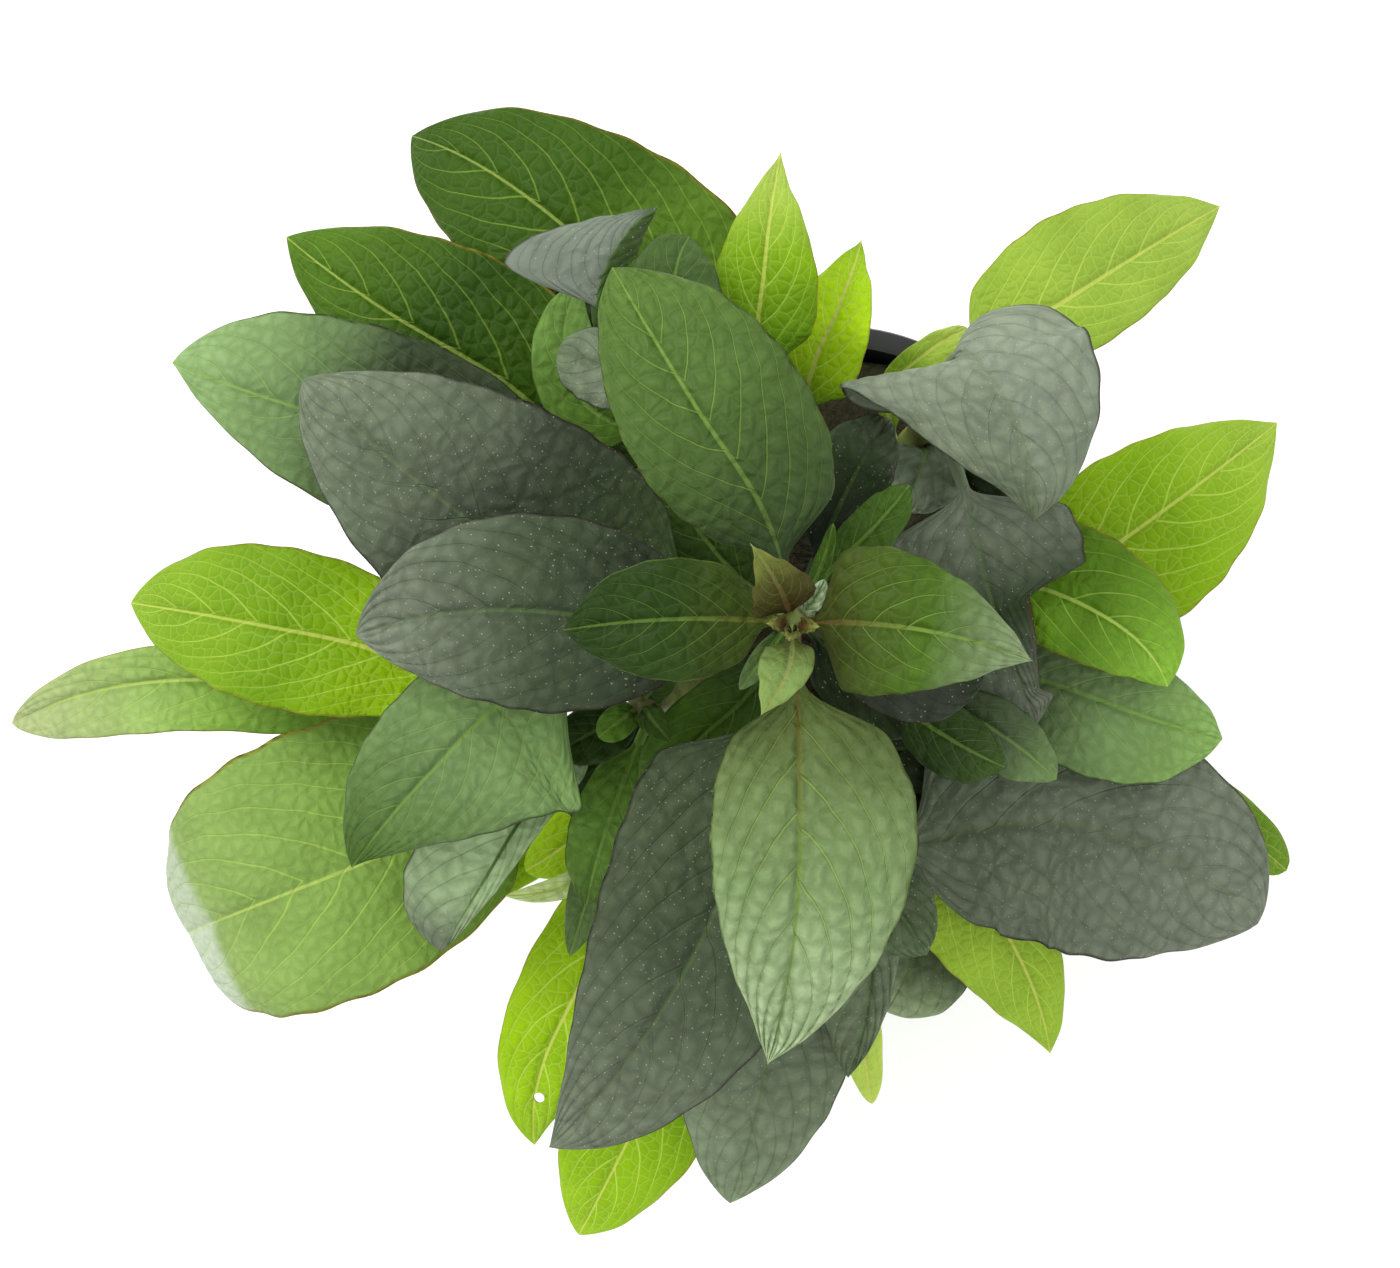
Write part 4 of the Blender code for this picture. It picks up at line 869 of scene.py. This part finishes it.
def make_leaf(leaf, stem_path, materials):
    """The stalk starts just inside the stem, on the side that the leaf grows to."""
    heights = stem_path[:, 2]
    centre = np.array([np.interp(leaf.at, heights, stem_path[:, i]) for i in range(3)])
    outward = np.array(leaf.via[0], float) - centre
    outward[2] = 0
    outward /= np.linalg.norm(outward)
    base = centre + outward * (stem_radius(leaf.at, heights) - SINK)
    rings, maps = blade_grid(leaf, base, *(LARGE_GRID if max(leaf.wide) > LARGE_HALF else SMALL_GRID))
    made = mesh_object("blade_" + leaf.name, rings.reshape(-1, 3), ring_faces(*rings.shape[:2]), maps)
    made.data.materials.append(materials[leaf.finish])
    if leaf.hole:
        place, across, size = leaf.hole
        row = STALK_ROWS + int(place * (len(rings) - STALK_ROWS))
        column = int((across + 1) / 4 * rings.shape[1])
        bpy.ops.mesh.primitive_cylinder_add(
            vertices=20, radius=size * MM, depth=6 * MM, location=rings[row, column] * MM
        )
        cut_out(made, [bpy.context.object])
    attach(made, "root")
    node = "leaf_" + leaf.name
    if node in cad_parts:
        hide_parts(node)


def make_stem(shoot, path, material):
    """A square-shouldered tube on the shoot's path, swollen at each leaf's joint."""
    rows, ring = STEM_GRID
    distances = np.linspace(0, lengths_along(path)[-1], rows)
    centre, forward = read_path(path, distances)
    right = np.cross(forward, (0.0, 1.0, 0.0))
    right /= np.linalg.norm(right, axis=1, keepdims=True)
    ahead = np.cross(right, forward)
    joints = np.array([leaf.at for leaf in shoot.leaves], float)
    swelling = JOINT_SWELLING * np.exp(-(((centre[:, 2:] - joints) / JOINT_REACH) ** 2)).max(axis=1)
    end = smoothstep((distances[-1] - distances) / 1.2) ** 0.5
    around = np.linspace(0, 2 * np.pi, ring, endpoint=False)
    radius = (stem_radius(centre[:, 2], path[:, 2]) * (1 + swelling) * np.maximum(end, 0.05))[:, None]
    radius = radius * (1 + STEM_SQUARENESS * np.cos(4 * around))
    rings = (
        centre[:, None]
        + (radius * np.cos(around))[..., None] * right[:, None]
        - (radius * np.sin(around))[..., None] * ahead[:, None]
    )
    made = mesh_object("stalk_" + shoot.name, rings.reshape(-1, 3), ring_faces(rows, ring))
    made.data.materials.append(material)
    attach(made, "root")
    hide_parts("stem_" + shoot.name)


def inner_radius(height):
    """The pot's inner radius at a height above its underside."""
    share = (height - POT_FLOOR) / (POT_HEIGHT - POT_FLOOR)
    foot = FOOT_RADIUS - POT_WALL
    return foot + (THROAT_RADIUS - POT_WALL - foot) * share


def make_pot(material):
    """The pot is its profile turned through a full circle, with the root slots cut by boxes."""
    rim_foot = POT_HEIGHT - RIM_DEPTH
    under_rim = inner_radius(rim_foot) + POT_WALL
    profile = np.array([
        (0, POT_FLOOR), (inner_radius(POT_FLOOR) - 1, POT_FLOOR), (inner_radius(POT_FLOOR), POT_FLOOR + 1),
        (inner_radius(POT_HEIGHT), POT_HEIGHT), (RIM_RADIUS - 0.5, POT_HEIGHT),
        (RIM_RADIUS - 0.15, POT_HEIGHT - 0.15), (RIM_RADIUS, POT_HEIGHT - 0.5),
        (RIM_RADIUS, rim_foot + 0.2), (RIM_RADIUS - 0.2, rim_foot),
        (under_rim + 0.2, rim_foot), (under_rim, rim_foot - 0.2),
        (FOOT_RADIUS, 0.6), (FOOT_RADIUS - 0.2, 0.15), (FOOT_RADIUS - 0.6, 0), (0, 0),
    ])
    turn = np.linspace(0, 2 * np.pi, POT_SIDES, endpoint=False)
    radius, height = profile[1:-1].T
    rings = np.stack(np.broadcast_arrays(
        radius[:, None] * np.cos(turn), radius[:, None] * np.sin(turn), height[:, None]
    ), axis=-1)
    count = len(rings)
    points = np.concatenate([rings.reshape(-1, 3), [[0, 0, POT_FLOOR], [0, 0, 0]]])
    faces = ring_faces(count, POT_SIDES, capped=False)
    here = np.arange(POT_SIDES)
    after = np.roll(here, -1)
    last = (count - 1) * POT_SIDES
    faces += np.stack([after, here, np.full(POT_SIDES, count * POT_SIDES)], axis=1).tolist()
    faces += np.stack([last + here, last + after, np.full(POT_SIDES, count * POT_SIDES + 1)], axis=1).tolist()
    pot = mesh_object("basket_pot", points, [face[::-1] for face in faces])
    wall_box = (8 * POT_WALL, *WALL_SLOT_SIZE)
    base_box = (*BASE_SLOT_SIZE, 3 * POT_FLOOR)
    cutters = []
    for slots, first, size, radius, middle in (
        (WALL_SLOTS, 0.5, wall_box, inner_radius(WALL_SLOT_MIDDLE) + 0.5 * POT_WALL, WALL_SLOT_MIDDLE),
        (BASE_SLOTS, 0, base_box, BASE_SLOT_RADIUS, 0.5 * POT_FLOOR),
    ):
        for number in range(slots):
            angle = 2 * np.pi * (number + first) / slots
            bpy.ops.mesh.primitive_cube_add(size=1)
            box = bpy.context.object
            box.scale = np.array(size) * MM
            box.rotation_euler = (0, 0, angle)
            box.location = np.array((radius * np.cos(angle), radius * np.sin(angle), middle)) * MM
            cutters.append(box)
    cut_out(pot, cutters)
    pot.data.shade_smooth()
    pot.data.set_sharp_from_angle(angle=np.radians(35))
    pot.data.materials.append(material)
    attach(pot, "root")
    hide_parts("net_pot")


def rough(seed, shape, coarse):
    """Smooth random heights from -1 to 1 on a wrapped grid: coarse random values, blended between."""
    values = np.random.default_rng(seed).uniform(-1, 1, coarse)
    for axis, count in enumerate(shape):
        at = np.linspace(0, coarse[axis], count, endpoint=False)
        low = np.floor(at).astype(int)
        blend = smoothstep(at - low)
        first = np.take(values, low % coarse[axis], axis=axis)
        second = np.take(values, (low + 1) % coarse[axis], axis=axis)
        blend = blend.reshape([-1 if i == axis else 1 for i in range(2)])
        values = first + (second - first) * blend
    return values


def make_plug(material):
    """A tapered cake of wool: a turned profile whose surface is pushed in by smooth random heights."""
    low = POT_FLOOR + GAP
    corner = inner_radius(PLUG_TOP) - GAP
    foot = inner_radius(low) - GAP
    on_top, on_wall, on_base = PLUG_RINGS
    radius = np.concatenate([
        np.linspace(0.4, corner - 1, on_top), np.linspace(corner - 0.3, foot, on_wall),
        np.linspace(foot - 0.5, 0.4, on_base),
    ])
    height = np.concatenate([
        np.full(on_top, PLUG_TOP), np.linspace(PLUG_TOP - 0.7, low, on_wall), np.full(on_base, low),
    ])
    turn = np.linspace(0, 2 * np.pi, PLUG_SIDES, endpoint=False)
    shape = (len(radius), PLUG_SIDES)
    dent = 0.35 * rough(3, shape, (26, 60)) + 0.25 * rough(4, shape, (50, 120)) + 0.6
    top = np.arange(len(radius)) < on_top
    radii = radius[:, None] - np.where(top, 0, 1)[:, None] * dent * 0.5
    heights = height[:, None] - np.where(top, 1, 0)[:, None] * dent
    rings = np.stack(np.broadcast_arrays(radii * np.cos(turn), radii * np.sin(turn), heights), axis=-1)
    plug = mesh_object("rooting_wool", rings.reshape(-1, 3), [face[::-1] for face in ring_faces(*shape)])
    plug.data.materials.append(material)
    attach(plug, "root")
    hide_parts("wool_plug")


def make_studio():
    """A white floor, a soft key light from the upper left, a weaker one across from it, and a white sky."""
    corners = np.array([(-1, -1, 0), (1, -1, 0), (1, 1, 0), (-1, 1, 0)])
    floor = mesh_object("floor", corners * FLOOR_REACH / MM, [(0, 1, 2, 3)])
    paper = bpy.data.materials.new("matt_white_paper")
    paper.use_nodes = True
    shader = paper.node_tree.nodes["Principled BSDF"]
    shader.inputs["Base Color"].default_value = linear_colour("#f7f7f5")
    shader.inputs["Roughness"].default_value = 0.9
    floor.data.materials.append(paper)
    for name, size, watts, place in (
        ("key_softbox", 0.5, 7.5, (-0.55, 0.45, 0.8)),
        ("fill_softbox", 0.8, 2.0, (0.7, -0.5, 0.9)),
    ):
        light = bpy.data.lights.new(name, "AREA")
        light.shape = "SQUARE"
        light.size = size
        light.energy = watts
        lamp = bpy.data.objects.new(name, light)
        bpy.context.scene.collection.objects.link(lamp)
        lamp.location = place
        lamp.rotation_euler = (-lamp.location).to_track_quat("-Z", "Y").to_euler()
    world = bpy.data.worlds.new("even_sky")
    world.use_nodes = True
    world.node_tree.nodes["Background"].inputs["Color"].default_value = (1, 1, 1, 1)
    world.node_tree.nodes["Background"].inputs["Strength"].default_value = SKY_STRENGTH
    bpy.context.scene.world = world
    bpy.context.scene.view_settings.view_transform = "Standard"


def make_camera():
    """A long lens straight above, with the picture's top towards +Y."""
    camera = bpy.data.cameras.new("camera")
    focal_pixels = (CAMERA[2] - POT_HEIGHT) / PIXEL_AT_RIM
    camera.sensor_width = SENSOR
    camera.lens = focal_pixels * SENSOR / FRAME_WIDTH
    camera.clip_start = 0.01
    holder = bpy.data.objects.new("camera", camera)
    bpy.context.scene.collection.objects.link(holder)
    holder.location = np.array(CAMERA) * MM
    bpy.context.scene.camera = holder


def main():
    """Makes the studio, the pot and its wool, and then each shoot with its leaves."""
    leaf_materials = {finish: leaf_material(look) for finish, look in LEAF_LOOKS.items()}
    green_stem = stem_material()
    make_camera()
    make_studio()
    make_pot(pot_material())
    make_plug(wool_material())
    for shoot in SHOOTS:
        foot = (*shoot.foot, PLUG_TOP + GAP)
        path = smooth_path([foot, (*shoot.foot, foot[2] + STEM_UPRIGHT), *shoot.via])
        make_stem(shoot, path, green_stem)
        for leaf in shoot.leaves:
            make_leaf(leaf, path, leaf_materials)


main()
